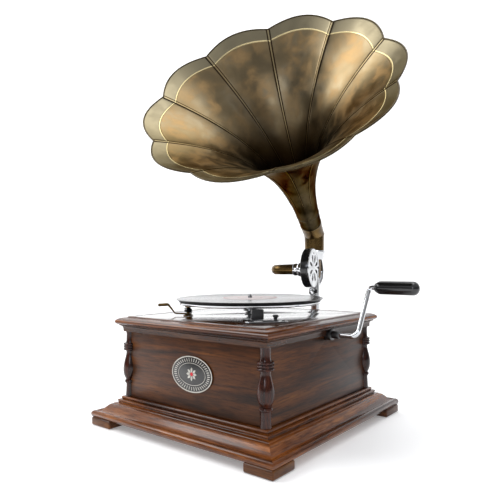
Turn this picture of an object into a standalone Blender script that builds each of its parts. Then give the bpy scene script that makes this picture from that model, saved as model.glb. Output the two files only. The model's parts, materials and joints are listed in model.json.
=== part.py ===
"""Wind up phonograph: square cabinet, spring motor, turntable, tone arm and a ten petal horn."""
import math

import bmesh
import bpy
from mathutils import Matrix, Vector

TAU = 2 * math.pi
GAP = 0.0003             # clearance between pieces that touch

# Where the cabinet stands under the middle of the whole object's box
CABINET_X = -0.0490
CABINET_Y = -0.0244

# Cabinet, half widths from the spindle axis and heights above the ground
PLINTH_HALF = 0.186
PLINTH_LOW = 0.0130
PLINTH_TOP = 0.0450
PLINTH_INNER = 0.1280
FOOT_SIZE = 0.048
PANEL_HALF = 0.1450
PANEL_THICK = 0.010
PANEL_END = 0.1345
LID_LOW = 0.1625
LID_TOP = 0.1757
LID_HALF = 0.1595
LID_INNER = 0.1385
BOARD_LOW = 0.1658
FRIEZE_LOW = 0.1510
BALUSTER_AXIS = 0.1410
BADGE_WIDTH, BADGE_HEIGHT, BADGE_THICK = 0.082, 0.053, 0.0018
BADGE_X, BADGE_Z = 0.0085, 0.0995

# Motor, between the plate under the deck and the bridge below it
PLATE_TOP = 0.1655
PLATE_LOW = 0.1625
BRIDGE_TOP = 0.0930
BRIDGE_THICK = 0.0030
MODULE = 0.001
BARREL_XY = (0.0520, 0.0100)
MIDDLE_XY = (0.0260, -0.0149)
BARREL_TEETH, PINION_TEETH, WHEEL_TEETH, WORM_WHEEL_TEETH = 60, 12, 48, 28
BARREL_RADIUS = 0.028
GOVERNOR_X, GOVERNOR_Z = -0.0195, 0.1280
GOVERNOR_REACH = 0.0110
PILLARS_XY = ((0.0, 0.036), (0.004, -0.036), (0.078, 0.038))

# Turntable
RECORD_TOP = 0.2040
RECORD_RADIUS = 0.1250
RECORD_THICK = 0.0021
FELT_THICK = 0.0014
PLATTER_RADIUS = 0.1215
PLATTER_RIM = 0.0050
FELT_RADIUS = 0.1205
SPINDLE_RADIUS = 0.0035
SPINDLE_TOP = 0.2095

# Winding crank
CRANK_Y, CRANK_Z = 0.0100, 0.1520
CRANK_ROD = 0.0038
GRIP_Y, GRIP_Z = 0.0390, 0.2245
GRIP_NEAR, GRIP_FAR = 0.2145, 0.2825
GRIP_RADIUS = 0.0103

# Deck fittings
BRAKE_XY = (0.1017, -0.0869)
BRAKE_TURN = math.radians(46.5)
POST_XY = (-0.0660, -0.0820)

# Back bracket, horn and tone arm
PIVOT_Y = 0.2086
RING_LOW, RING_TOP = 0.2700, 0.2880
RING_OUTER, RING_INNER = 0.0215, 0.0150
COLUMN_RADIUS = 0.0095
ELBOW_RADIUS = 0.0193
ELBOW_REACH = 0.0350      # along the neck, beyond the mitre
HORN_WALL = 0.0018
HORN_CENTRE = Vector((0.0835, -0.0539, 0.5314))
HORN_SWING, HORN_TILT = math.radians(17.65), math.radians(37.47)
PETALS = 10
SEAM_RADIUS = 0.1959
PETAL_RISE = 0.026        # crown of a petal, as a share of the radius
PETAL_REACH = 0.0056      # how far forward the middle of a petal's edge stands
NECK_RADIUS = 0.0200      # where the neck meets the elbow
NECK_TAPER = 0.0297
FLARE_LENGTH = 0.3134
FLARE_POWER = 2.889
FIRST_SEAM = math.radians(30.4)
ARM_Z = 0.2520
BOX_BACK = Vector((0.1093, 0.0064, 0.2545))
BOX_TURN = math.radians(15.8)
BOX_RADIUS = 0.0310
BOX_DEPTH = 0.0140
NEEDLE_OUT = 0.0090       # the needle's line, from the back of the box
ARM_JOINT = Vector((0.0485, 0.0225, ARM_Z))
GOOSENECK_RADIUS = 0.0083

COLOURS = {
    "walnut": ((0.16, 0.075, 0.035), 0.35, 0.0),
    "dark_walnut": ((0.09, 0.035, 0.02), 0.35, 0.0),
    "antique_brass": ((0.36, 0.27, 0.14), 0.35, 1.0),
    "bright_brass": ((0.62, 0.46, 0.20), 0.28, 1.0),
    "chrome": ((0.80, 0.80, 0.81), 0.10, 1.0),
    "steel": ((0.45, 0.45, 0.46), 0.35, 1.0),
    "cast_iron": ((0.10, 0.10, 0.10), 0.55, 0.6),
    "black_plastic": ((0.015, 0.015, 0.016), 0.30, 0.0),
    "shellac": ((0.012, 0.012, 0.012), 0.20, 0.0),
    "felt": ((0.02, 0.02, 0.022), 0.95, 0.0),
    "mica": ((0.70, 0.66, 0.58), 0.25, 0.0),
}


# --- helpers ---------------------------------------------------------------------------------

def clear_scene():
    for obj in list(bpy.data.objects):
        bpy.data.objects.remove(obj, do_unlink=True)


def collection(name):
    made = bpy.data.collections.new(name)
    bpy.context.scene.collection.children.link(made)
    return made


def material(name):
    if name in bpy.data.materials:
        return bpy.data.materials[name]
    colour, roughness, metallic = COLOURS[name]
    made = bpy.data.materials.new(name)
    made.use_nodes = True
    shader = made.node_tree.nodes["Principled BSDF"]
    shader.inputs["Base Color"].default_value = (*colour, 1.0)
    shader.inputs["Roughness"].default_value = roughness
    shader.inputs["Metallic"].default_value = metallic
    return made


def show(name, data, finish, place=(0, 0, 0)):
    """A new object for one piece of the phonograph."""
    obj = bpy.data.objects.new(name, data)
    obj.location = place
    PARTS.objects.link(obj)
    if finish:
        data.materials.append(material(finish))
    return obj


def as_cutter(obj):
    PARTS.objects.unlink(obj)
    CUTTERS.objects.link(obj)
    obj.hide_render = True
    obj.display_type = "WIRE"
    return obj


def smooth(obj, angle=35):
    obj.data.shade_smooth()
    obj.data.set_sharp_from_angle(angle=math.radians(angle))
    return obj


def boolean(target, other, operation):
    """Cuts other from target, or joins it on; other becomes a hidden helper."""
    step = target.modifiers.new(operation.lower(), "BOOLEAN")
    step.operation = operation
    step.object = other
    if other.name in PARTS.objects:
        as_cutter(other)
    return target


def box(name, finish, low, high, bevel=0.0):
    """A block between two corners."""
    low, high = Vector(low), Vector(high)
    mesh = bpy.data.meshes.new(name)
    work = bmesh.new()
    bmesh.ops.create_cube(work, size=1.0, matrix=Matrix.Diagonal((*(high - low), 1.0)))
    work.to_mesh(mesh)
    work.free()
    obj = show(name, mesh, finish, (low + high) / 2)
    if bevel:
        step = obj.modifiers.new("bevel", "BEVEL")
        step.width = bevel
        step.segments = 1
    return obj


def cylinder(name, finish, radius, start, end, sides=20):
    """A round bar between two points."""
    start, end = Vector(start), Vector(end)
    mesh = bpy.data.meshes.new(name)
    work = bmesh.new()
    bmesh.ops.create_cone(
        work, cap_ends=True, segments=sides, radius1=radius, radius2=radius, depth=(end - start).length
    )
    work.to_mesh(mesh)
    work.free()
    obj = show(name, mesh, finish, (start + end) / 2)
    obj.rotation_euler = (end - start).to_track_quat("Z", "Y").to_euler()
    return smooth(obj)


def turned(name, finish, profile, place=(0, 0, 0), sides=24, along=None, ring=False):
    """A turned piece: (radius, height) points down the outer side. A ring's profile is a closed loop."""
    mesh = bpy.data.meshes.new(name)
    work = bmesh.new()
    points = [work.verts.new((radius, 0.0, height)) for radius, height in profile]
    for first, second in zip(points, points[1:]):
        work.edges.new((first, second))
    if ring:
        work.edges.new((points[-1], points[0]))
    work.to_mesh(mesh)
    work.free()
    obj = show(name, mesh, finish, place)
    screw = obj.modifiers.new("turn", "SCREW")
    screw.steps = screw.render_steps = sides
    screw.use_merge_vertices = True
    screw.merge_threshold = 0.00001
    screw.use_smooth_shade = sides > 4
    if along:
        obj.rotation_euler = Vector(along).to_track_quat("Z", "Y").to_euler()
    return obj


def square_frame(name, finish, profile):
    """A mitred square frame: (half width, height) points, a closed loop down the outer side."""
    root = math.sqrt(2.0)
    obj = turned(name, finish, [(half * root, height) for half, height in profile], sides=4, ring=True)
    obj.rotation_euler = (0, 0, math.radians(45))
    return obj


def meshed(obj):
    """The curve as a plain mesh object with its caps welded."""
    bpy.context.view_layer.update()
    mesh = bpy.data.meshes.new_from_object(obj.evaluated_get(bpy.context.evaluated_depsgraph_get()))
    work = bmesh.new()
    work.from_mesh(mesh)
    bmesh.ops.remove_doubles(work, verts=work.verts, dist=0.000001)
    work.to_mesh(mesh)
    work.free()
    name, matrix = obj.name, obj.matrix_world.copy()
    curve = obj.data
    bpy.data.objects.remove(obj)
    bpy.data.curves.remove(curve)
    made = show(name, mesh, None)
    made.matrix_world = matrix
    return made


def outline(name, finish, loops, low, high, place=(0, 0, 0), turn=0.0):
    """A flat piece cut to an outline between two heights; later loops are its holes."""
    curve = bpy.data.curves.new(name, "CURVE")
    curve.dimensions = "2D"
    curve.fill_mode = "BOTH"
    curve.extrude = (high - low) / 2
    for loop in loops:
        spline = curve.splines.new("POLY")
        spline.points.add(len(loop) - 1)
        for point, (x, y) in zip(spline.points, loop):
            point.co = (x, y, 0.0, 1.0)
        spline.use_cyclic_u = True
    obj = show(name, curve, finish, (place[0], place[1], (low + high) / 2 + place[2]))
    obj.rotation_euler = (0, 0, turn)
    return meshed(obj)


def tube(name, finish, points, radius, radii=None, resolution=2):
    """A round rod or tube along points; radii scale it point by point."""
    curve = bpy.data.curves.new(name, "CURVE")
    curve.dimensions = "3D"
    curve.bevel_depth = radius
    curve.bevel_resolution = resolution
    curve.use_fill_caps = True
    spline = curve.splines.new("POLY")
    spline.points.add(len(points) - 1)
    for index, (point, place) in enumerate(zip(spline.points, points)):
        point.co = (*place, 1.0)
        point.radius = radii[index] if radii else 1.0
    return meshed(show(name, curve, finish))


def loft_shell(name, finish, outer, inner):
    """A closed wall between two rows of rings with the same number of points."""
    work = bmesh.new()
    rows = [[work.verts.new(point) for point in ring] for ring in outer + inner[::-1]]
    for first, second in zip(rows, rows[1:] + rows[:1]):
        for i in range(len(first)):
            j = (i + 1) % len(first)
            work.faces.new((first[i], first[j], second[j], second[i]))
    bmesh.ops.recalc_face_normals(work, faces=work.faces)
    mesh = bpy.data.meshes.new(name)
    work.to_mesh(mesh)
    work.free()
    return smooth(show(name, mesh, finish))


def circle(radius, sides=24, centre=(0.0, 0.0), start=0.0):
    return [
        (centre[0] + radius * math.cos(start + TAU * i / sides), centre[1] + radius * math.sin(start + TAU * i / sides))
        for i in range(sides)
    ]


def arc(centre, radius, first, last, steps):
    """Points on an arc, angles in degrees."""
    found = []
    for i in range(steps + 1):
        angle = math.radians(first + (last - first) * i / steps)
        found.append((centre[0] + radius * math.cos(angle), centre[1] + radius * math.sin(angle)))
    return found


def bend(before, corner, after, radius, steps=4):
    """Points that round the corner of a path."""
    before, corner, after = Vector(before), Vector(corner), Vector(after)
    back, ahead = (before - corner).normalized(), (after - corner).normalized()
    half = back.angle(ahead) / 2
    reach = radius / math.tan(half)
    middle = corner + (back + ahead).normalized() * radius / math.sin(half)
    start, end = corner + back * reach, corner + ahead * reach
    turn = (start - middle).rotation_difference(end - middle)
    axis, angle = turn.to_axis_angle()
    return [
        middle + Matrix.Rotation(angle * i / steps, 3, axis) @ (start - middle) for i in range(steps + 1)
    ]


def gear_loop(teeth, first_tooth):
    """A gear's outline, with one tooth centred on the angle first_tooth."""
    pitch = teeth * MODULE / 2
    step = TAU / teeth
    loop = []
    for tooth in range(teeth):
        centre = first_tooth + tooth * step
        for share, radius in ((-0.24, pitch - 0.0009), (-0.12, pitch + 0.0007),
                              (0.12, pitch + 0.0007), (0.24, pitch - 0.0009)):
            angle = centre + share * step
            loop.append((radius * math.cos(angle), radius * math.sin(angle)))
    return loop


def axis_empty(name, place):
    empty = bpy.data.objects.new(name, None)
    empty.location = place
    PARTS.objects.link(empty)
    return empty


def hang(parent, *pieces):
    """Parents pieces without moving them."""
    bpy.context.view_layer.update()
    for piece in pieces:
        piece.parent = parent
        piece.matrix_parent_inverse = parent.matrix_world.inverted()


# --- cabinet ---------------------------------------------------------------------------------

def make_feet():
    reach = PLINTH_HALF - 0.0005
    for name, x, y in (("foot_front_left", -1, -1), ("foot_front_right", 1, -1),
                       ("foot_rear_left", -1, 1), ("foot_rear_right", 1, 1)):
        near_x, far_x = sorted((x * reach, x * (reach - FOOT_SIZE)))
        near_y, far_y = sorted((y * reach, y * (reach - FOOT_SIZE)))
        box(name, "dark_walnut", (near_x, near_y, 0), (far_x, far_y, PLINTH_LOW - GAP), bevel=0.0016)


def make_plinth():
    slope = []
    for i in range(9):                       # ogee from the top steps out to the nose
        share = i / 8
        slope.append((0.1608 + 0.0172 * share, 0.0334 - 0.0118 * (1 - math.cos(math.pi * share)) / 2))
    nose = arc((PLINTH_HALF - 0.0052, PLINTH_LOW + 0.0048), 0.0052, 120, -25, 8)
    nose += [(PLINTH_HALF - 0.0016, PLINTH_LOW)]
    profile = (
        [(PLINTH_INNER, PLINTH_TOP), (0.1490, PLINTH_TOP)]
        + arc((0.1492, PLINTH_TOP - 0.0023), 0.0023, 80, -60, 5)
        + [(0.1515, 0.0404), (0.1538, 0.0400)]
        + arc((0.1542, 0.0381), 0.0019, 80, -80, 5)
        + [(0.1552, 0.0352), (0.1600, 0.0344)]
        + slope
        + nose
        + [(PLINTH_INNER, PLINTH_LOW)]
    )
    square_frame("plinth", "walnut", profile)
    inside = PLINTH_INNER - GAP
    box("base_board", "walnut", (-inside, -inside, PLINTH_LOW + GAP), (inside, inside, PLINTH_LOW + 0.008))


def make_panels():
    low, high = PLINTH_TOP + GAP, LID_LOW - GAP
    inner = PANEL_HALF - PANEL_THICK
    box("front_panel", "walnut", (-PANEL_END, -PANEL_HALF, low), (PANEL_END, -inner, high))
    box("rear_panel", "walnut", (-PANEL_END, inner, low), (PANEL_END, PANEL_HALF, high))
    box("left_panel", "walnut", (-PANEL_HALF, -PANEL_END, low), (-inner, PANEL_END, high))
    right = box("right_panel", "walnut", (inner, -PANEL_END, low), (PANEL_HALF, PANEL_END, high))
    hole = cylinder("crank_hole", None, 0.0070, (0.12, CRANK_Y, CRANK_Z), (0.17, CRANK_Y, CRANK_Z))
    boolean(right, hole, "DIFFERENCE")


def baluster_profile():
    """Plain shaft, three rings, a vase and a lower ring, from the top down."""
    top = FRIEZE_LOW - GAP
    profile = [(0.0, top), (0.0071, top), (0.0073, 0.1330)]
    for middle in (0.1302, 0.1256, 0.1210):
        profile += [(0.0098, middle + 0.0019), (0.0117, middle), (0.0098, middle - 0.0019)]
    profile += [(0.0077, 0.1160), (0.0098, 0.1040), (0.0117, 0.0900), (0.0104, 0.0790), (0.0076, 0.0730)]
    profile += [(0.0092, 0.0700), (0.0092, 0.0676), (0.0071, 0.0655)]
    bottom = PLINTH_TOP + GAP
    return profile + [(0.0074, bottom), (0.0, bottom)]


def make_balusters():
    """Three quarter columns: each is notched where the two panels meet behind it."""
    edge, face = PANEL_END + GAP, PANEL_HALF + GAP
    notch = [(0.10, 0.10), (face, 0.10), (face, edge), (edge, edge), (edge, face), (0.10, face)]
    cutter = as_cutter(outline("corner_notch", None, [notch], 0.03, 0.17))
    for name, quarter in (("baluster_rear_right", 0), ("baluster_rear_left", 1),
                          ("baluster_front_left", 2), ("baluster_front_right", 3)):
        turn = math.radians(90 * quarter)
        spot = Matrix.Rotation(turn, 3, "Z") @ Vector((BALUSTER_AXIS, BALUSTER_AXIS, 0))
        column = turned(name, "dark_walnut", baluster_profile(), spot, sides=14)
        tool = cutter.copy()
        tool.rotation_euler = (0, 0, turn)
        CUTTERS.objects.link(tool)
        boolean(column, tool, "DIFFERENCE")


def make_lid():
    frieze_inner = PANEL_HALF + GAP
    frieze = square_frame("frieze", "dark_walnut", [
        (frieze_inner, LID_LOW - GAP), (0.1545, LID_LOW - GAP), (0.1545, 0.1608),
        *arc((0.1545, 0.1560), 0.0048, 100, 170, 4), (0.1494, 0.1525), (0.1494, FRIEZE_LOW),
        (frieze_inner, FRIEZE_LOW),
    ])
    notch = cylinder("bush_hole", None, 0.0098, (0.1400, CRANK_Y, CRANK_Z), (0.17, CRANK_Y, CRANK_Z))
    boolean(frieze, notch, "DIFFERENCE")
    edge = []
    for i in range(9):                       # thumbnail edge from the top face out to the nose
        angle = math.radians(90 - 90 * i / 8)
        edge.append((0.1450 + 0.0145 * math.cos(angle), 0.1675 + 0.0068 * math.sin(angle)))
    square_frame("lid_frame", "walnut", [
        (LID_INNER, LID_TOP), (0.1440, LID_TOP), (0.1447, LID_TOP - 0.0014),
        *edge, (LID_HALF - 0.0006, 0.1652), (0.1570, 0.1633), (0.1550, LID_LOW), (0.1250, LID_LOW),
        (0.1250, BOARD_LOW - GAP), (LID_INNER, BOARD_LOW - GAP),
    ])
    inside = LID_INNER - GAP
    board = box("motor_board", "walnut", (-inside, -inside, BOARD_LOW), (inside, inside, LID_TOP - 0.0001))
    boolean(board, cylinder("spindle_hole", None, 0.0075, (0, 0, 0.15), (0, 0, 0.19)), "DIFFERENCE")


def make_badge():
    """A thin oval plate on the front panel."""
    oval = [
        (BADGE_WIDTH / 2 * math.cos(TAU * i / 40), BADGE_HEIGHT / 2 * math.sin(TAU * i / 40)) for i in range(40)
    ]
    badge = outline("badge_plate", "cast_iron", [oval], 0, BADGE_THICK)
    badge.matrix_world = Matrix.Translation(
        (BADGE_X, -PANEL_HALF - GAP, BADGE_Z)) @ Matrix.Rotation(math.radians(90), 4, "X") @ badge.matrix_world


def make_crank_bush():
    """A flanged collar in the side panel that carries the crank shaft."""
    turned("crank_bush", "cast_iron", [
        (0.0092, 0.0105), (0.0092, GAP), (0.0064, GAP), (0.0064, -0.0100), (0.0046, -0.0100), (0.0046, 0.0105),
    ], (PANEL_HALF, CRANK_Y, CRANK_Z), sides=20, along=(1, 0, 0), ring=True)


# --- motor -----------------------------------------------------------------------------------

def make_motor_frame():
    plate = box("motor_plate", "cast_iron", (-0.066, -0.062, PLATE_LOW), (0.094, 0.062, PLATE_TOP))
    boolean(plate, cylinder("plate_hole", None, 0.0060, (0, 0, 0.15), (0, 0, 0.18)), "DIFFERENCE")
    box("motor_bridge", "steel", (-0.012, -0.044, BRIDGE_TOP - BRIDGE_THICK), (0.088, 0.046, BRIDGE_TOP))
    for number, (x, y) in enumerate(PILLARS_XY, 1):
        cylinder(f"motor_pillar_{number}", "steel", 0.0040, (x, y, BRIDGE_TOP + GAP), (x, y, PLATE_LOW - GAP), 12)
    reach, leg = 0.0500, 0.0035
    high, low = PLATE_LOW - GAP, GOVERNOR_Z - 0.0065
    shape = [(-reach - leg, low), (-reach, low), (-reach, high - 0.003), (reach, high - 0.003),
             (reach, low), (reach + leg, low), (reach + leg, high), (-reach - leg, high)]
    bracket = outline("governor_bracket", "bright_brass", [shape], -0.007, 0.007)
    bracket.matrix_world = Matrix.Translation((GOVERNOR_X, 0, 0)) @ Matrix(
        ((0, 0, 1, 0), (1, 0, 0, 0), (0, 1, 0, 0), (0, 0, 0, 1)))


def make_barrel():
    """The spring barrel with its toothed rim, its cover, the mainspring and the arbor they turn on."""
    x, y = BARREL_XY
    hole = circle(0.0046, 16)
    rim = outline("barrel_teeth", None, [gear_loop(BARREL_TEETH, barrel_phase()), hole], 0.1035, 0.1075, (x, y, 0))
    wall = 0.0015
    barrel = turned("spring_barrel", "bright_brass", [
        (BARREL_RADIUS, 0.1325), (BARREL_RADIUS, 0.1070), (0.0046, 0.1070), (0.0046, 0.1070 + wall),
        (BARREL_RADIUS - wall, 0.1070 + wall), (BARREL_RADIUS - wall, 0.1325),
    ], (x, y, 0), sides=32, ring=True)
    boolean(barrel, rim, "UNION")
    cover = turned("barrel_cover", "bright_brass", [
        (BARREL_RADIUS, 0.1343), (BARREL_RADIUS, 0.1328), (0.0046, 0.1328), (0.0046, 0.1343),
    ], (x, y, 0), sides=32, ring=True)
    turns, steps, thick = 5, 16, 0.0009
    inner, outer = [], []
    for i in range(turns * steps + 1):
        angle = TAU * i / steps
        radius = 0.0080 + (0.0250 - 0.0080) * i / (turns * steps)
        inner.append((radius * math.cos(angle), radius * math.sin(angle)))
        outer.append(((radius + thick) * math.cos(angle), (radius + thick) * math.sin(angle)))
    spring = outline("mainspring", "steel", [inner + outer[::-1]], 0.1095, 0.1315, (x, y, 0))
    arbor = turned("barrel_arbor", "steel", [
        (0.0, PLATE_LOW - GAP), (0.0040, PLATE_LOW - GAP), (0.0040, 0.1415), (0.0190, 0.1415), (0.0250, 0.1400),
        (0.0250, 0.1375), (0.0040, 0.1365), (0.0040, BRIDGE_TOP + GAP), (0.0, BRIDGE_TOP + GAP),
    ], (x, y, 0), sides=20)
    return (barrel, cover, spring), arbor


def toward(start, end):
    return math.atan2(end[1] - start[1], end[0] - start[0])


def barrel_phase():
    """The barrel's teeth stand between those of the middle pinion, whose first tooth points at +X."""
    return toward(BARREL_XY, MIDDLE_XY) + pinion_offset(toward(MIDDLE_XY, BARREL_XY), PINION_TEETH, BARREL_TEETH)


def pinion_offset(heading, teeth, other_teeth):
    """How far past the line of centres the meshing tooth space lies, carried over to the other gear."""
    step = TAU / teeth
    ahead = (-heading) % step                # from the line of centres to the next tooth of the first gear
    return -ahead * teeth / other_teeth + TAU / other_teeth / 2


def make_middle_gear():
    x, y = MIDDLE_XY
    wheel = outline("intermediate_gear", "bright_brass", [gear_loop(WHEEL_TEETH, 0.0)], 0.0980, 0.1010, (x, y, 0))
    pinion = outline("middle_pinion", None, [gear_loop(PINION_TEETH, 0.0)], 0.1005, 0.1078, (x, y, 0))
    shaft = cylinder("middle_shaft", None, 0.0025, (x, y, BRIDGE_TOP + GAP), (x, y, PLATE_LOW - GAP), 12)
    boolean(wheel, pinion, "UNION")
    return boolean(wheel, shaft, "UNION")


def make_spindle():
    """The turntable spindle with its driving pinion, the worm wheel and the seat for the platter."""
    spindle = turned("turntable_spindle", "steel", [
        (0.0, SPINDLE_TOP), (0.0018, SPINDLE_TOP - 0.0004), (0.0032, SPINDLE_TOP - 0.0020),
        (SPINDLE_RADIUS, SPINDLE_TOP - 0.0040), (SPINDLE_RADIUS, 0.1815), (0.0055, 0.1812), (0.0055, 0.1775),
        (SPINDLE_RADIUS, 0.1770), (SPINDLE_RADIUS, BRIDGE_TOP + GAP), (0.0, BRIDGE_TOP + GAP),
    ], sides=20)
    heading = toward(MIDDLE_XY, (0, 0))
    phase = toward((0, 0), MIDDLE_XY) + pinion_offset(heading, WHEEL_TEETH, PINION_TEETH)
    boolean(spindle, outline("spindle_pinion", None, [gear_loop(PINION_TEETH, phase)], 0.0965, 0.1025), "UNION")
    return boolean(spindle, outline("worm_wheel", None, [gear_loop(WORM_WHEEL_TEETH, 0.0)], 0.1255, 0.1305), "UNION")


def make_governor():
    """A cross shaft with the worm, a sliding disc and three weights on leaf springs."""
    place, along = (GOVERNOR_X, 0, GOVERNOR_Z), (0, 1, 0)
    shaft = turned("governor_shaft", "steel", [
        (0.0, 0.0497), (0.0020, 0.0497), (0.0020, 0.0090), (0.0040, 0.0080), (0.0040, -0.0080), (0.0020, -0.0090),
        (0.0020, -0.0390), (0.0052, -0.0390), (0.0052, -0.0450), (0.0020, -0.0450), (0.0020, -0.0497), (0.0, -0.0497),
    ], place, sides=12, along=along)
    disc = turned("governor_disc", "bright_brass", [
        (0.0140, -0.0140), (0.0140, -0.0160), (0.0052, -0.0165), (0.0052, -0.0195), (0.0024, -0.0195),
        (0.0024, -0.0140),
    ], place, sides=20, along=along, ring=True)
    weights = []
    for number in range(3):
        strip_out, strip_in = [], []
        for i in range(9):                   # leaf spring bowed outwards between collar and disc
            share = i / 8
            height = 0.0058 + GOVERNOR_REACH * 0.5 * math.sin(math.pi * share)
            run = -0.0448 + 0.0250 * share
            strip_out.append((run, height + 0.0005))
            strip_in.append((run, height))
        leaf = outline(f"governor_weight_{number + 1}", "bright_brass", [strip_in + strip_out[::-1]], -0.0018, 0.0018)
        spin = Matrix.Rotation(TAU * number / 3, 4, "Y")
        leaf.matrix_world = Matrix.Translation(place) @ spin @ Matrix(
            ((0, 0, 1, 0), (1, 0, 0, 0), (0, 1, 0, 0), (0, 0, 0, 1)))
        ball_mesh = bpy.data.meshes.new("weight_ball")
        work = bmesh.new()
        bmesh.ops.create_uvsphere(work, u_segments=12, v_segments=8, radius=0.0042)
        work.to_mesh(ball_mesh)
        work.free()
        ball = show(f"weight_ball_{number + 1}", ball_mesh, None)
        ball.matrix_world = Matrix.Translation(place) @ spin @ Matrix.Translation((0, -0.0323, 0.0142))
        weights.append(boolean(leaf, ball, "UNION"))
    return shaft, disc, *weights


def make_winding_shaft():
    """The bevel pinion's shaft, with the socket that takes the crank."""
    return turned("winding_shaft", "steel", [
        (0.0, 0.1165), (0.0043, 0.1165), (0.0043, 0.1320), (0.0056, 0.1320), (0.0056, 0.0800), (0.0095, 0.0780),
        (0.0075, 0.0720), (0.0, 0.0720),
    ], (0, CRANK_Y, CRANK_Z), sides=16, along=(1, 0, 0))


# --- turntable -------------------------------------------------------------------------------

def make_turntable():
    record_low = RECORD_TOP - RECORD_THICK
    felt_low = record_low - GAP - FELT_THICK
    top = felt_low - GAP
    low = top - PLATTER_RIM
    hole = 0.0041
    platter = turned("turntable", "chrome", [
        (PLATTER_RADIUS - 0.0012, top), (PLATTER_RADIUS, top - 0.0012), (PLATTER_RADIUS, low + 0.0010),
        (PLATTER_RADIUS - 0.0010, low), (PLATTER_RADIUS - 0.0023, low),
        (PLATTER_RADIUS - 0.0033, top - 0.0022), (0.0150, top - 0.0022),
        (0.0120, 0.1950), (0.0120, 0.1820), (hole, 0.1820), (hole, top),
    ], sides=48, ring=True)
    felt = turned("turntable_felt", "felt", [
        (FELT_RADIUS, felt_low + FELT_THICK), (FELT_RADIUS, felt_low), (hole, felt_low),
        (hole, felt_low + FELT_THICK),
    ], sides=48, ring=True)
    record = turned("record", "shellac", [
        (RECORD_RADIUS - 0.0006, RECORD_TOP), (RECORD_RADIUS, RECORD_TOP - 0.0007),
        (RECORD_RADIUS, record_low + 0.0007), (RECORD_RADIUS - 0.0006, record_low), (hole, record_low),
        (hole, RECORD_TOP),
    ], sides=48, ring=True)
    return platter, felt, record


# --- crank -----------------------------------------------------------------------------------

def make_crank():
    foot, knee = (0.1180, CRANK_Y, CRANK_Z), (0.1975, CRANK_Y, CRANK_Z)
    elbow, tip = (0.2045, GRIP_Y, GRIP_Z), (GRIP_FAR - 0.0065, GRIP_Y, GRIP_Z)
    path = [Vector(foot), *bend(foot, knee, elbow, 0.0120), *bend(knee, elbow, tip, 0.0070), Vector(tip)]
    crank = smooth(tube("crank", "chrome", path, CRANK_ROD))
    round_end = [(GRIP_RADIUS * math.sin(math.radians(a)), GRIP_FAR - 0.0090 * (1 - math.cos(math.radians(a))))
                 for a in range(0, 91, 18)]
    grip = turned("crank_grip", "black_plastic", [
        *round_end, (GRIP_RADIUS, GRIP_NEAR + 0.0060), (0.0066, GRIP_NEAR), (0.0043, GRIP_NEAR),
        (0.0043, GRIP_FAR - 0.0060), (0.0, GRIP_FAR - 0.0060),
    ], (0, GRIP_Y, GRIP_Z), sides=20, along=(1, 0, 0))
    return crank, grip


# --- brake and speed lever -------------------------------------------------------------------

def brake_frame(along, across, height):
    """A point given along and across the brake plate."""
    cos, sin = math.cos(BRAKE_TURN), math.sin(BRAKE_TURN)
    return (BRAKE_XY[0] + along * cos - across * sin, BRAKE_XY[1] + along * sin + across * cos, height)


def slot_loop(length, width):
    """A strip with round ends, along X."""
    run, radius = (length - width) / 2, width / 2
    return arc((run, 0), radius, -90, 90, 6) + arc((-run, 0), radius, 90, 270, 6)


def make_brake():
    deck = LID_TOP + GAP
    outline("brake_plate", "chrome", [slot_loop(0.064, 0.012)], deck, deck + 0.0015,
            (*BRAKE_XY, 0), BRAKE_TURN)
    low = deck + 0.0015 + GAP
    lever_loop = [(0.0175, -0.0035), (0.0175, 0.0035), (-0.002, 0.0035), (-0.002, 0.0170), (-0.0205, 0.0170),
                  (-0.0205, 0.0060), (-0.0060, 0.0050), (-0.0060, -0.0035)]
    lever = outline("brake_lever", "cast_iron", [lever_loop], low, low + 0.0014, (*BRAKE_XY, 0), BRAKE_TURN)
    knob = turned("brake_knob", None, [
        (0.0, 0.0080), (0.0030, 0.0078), (0.0045, 0.0066), (0.0045, 0.0046), (0.0026, 0.0034), (0.0026, -0.0008),
        (0.0, -0.0008),
    ], brake_frame(0.0136, 0.0, low + 0.0014), sides=16)
    boolean(lever, knob, "UNION")
    block_low = low + 0.0014 + GAP
    block = box("brake_block", "black_plastic", (-0.0205, 0.0058, block_low), (-0.0030, 0.0185, 0.1943), bevel=0.0008)
    block.matrix_world = Matrix.Translation((*BRAKE_XY, 0)) @ Matrix.Rotation(BRAKE_TURN, 4, "Z") @ \
        Matrix.Translation((-0.01175, 0.01215, (block_low + 0.1943) / 2))
    pin = cylinder("brake_pin", None, 0.0011, brake_frame(-0.0150, 0.0125, 0.1870), brake_frame(-0.0300, 0.0125, 0.1870), 8)
    boolean(block, pin, "UNION")
    return lever, block


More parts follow.
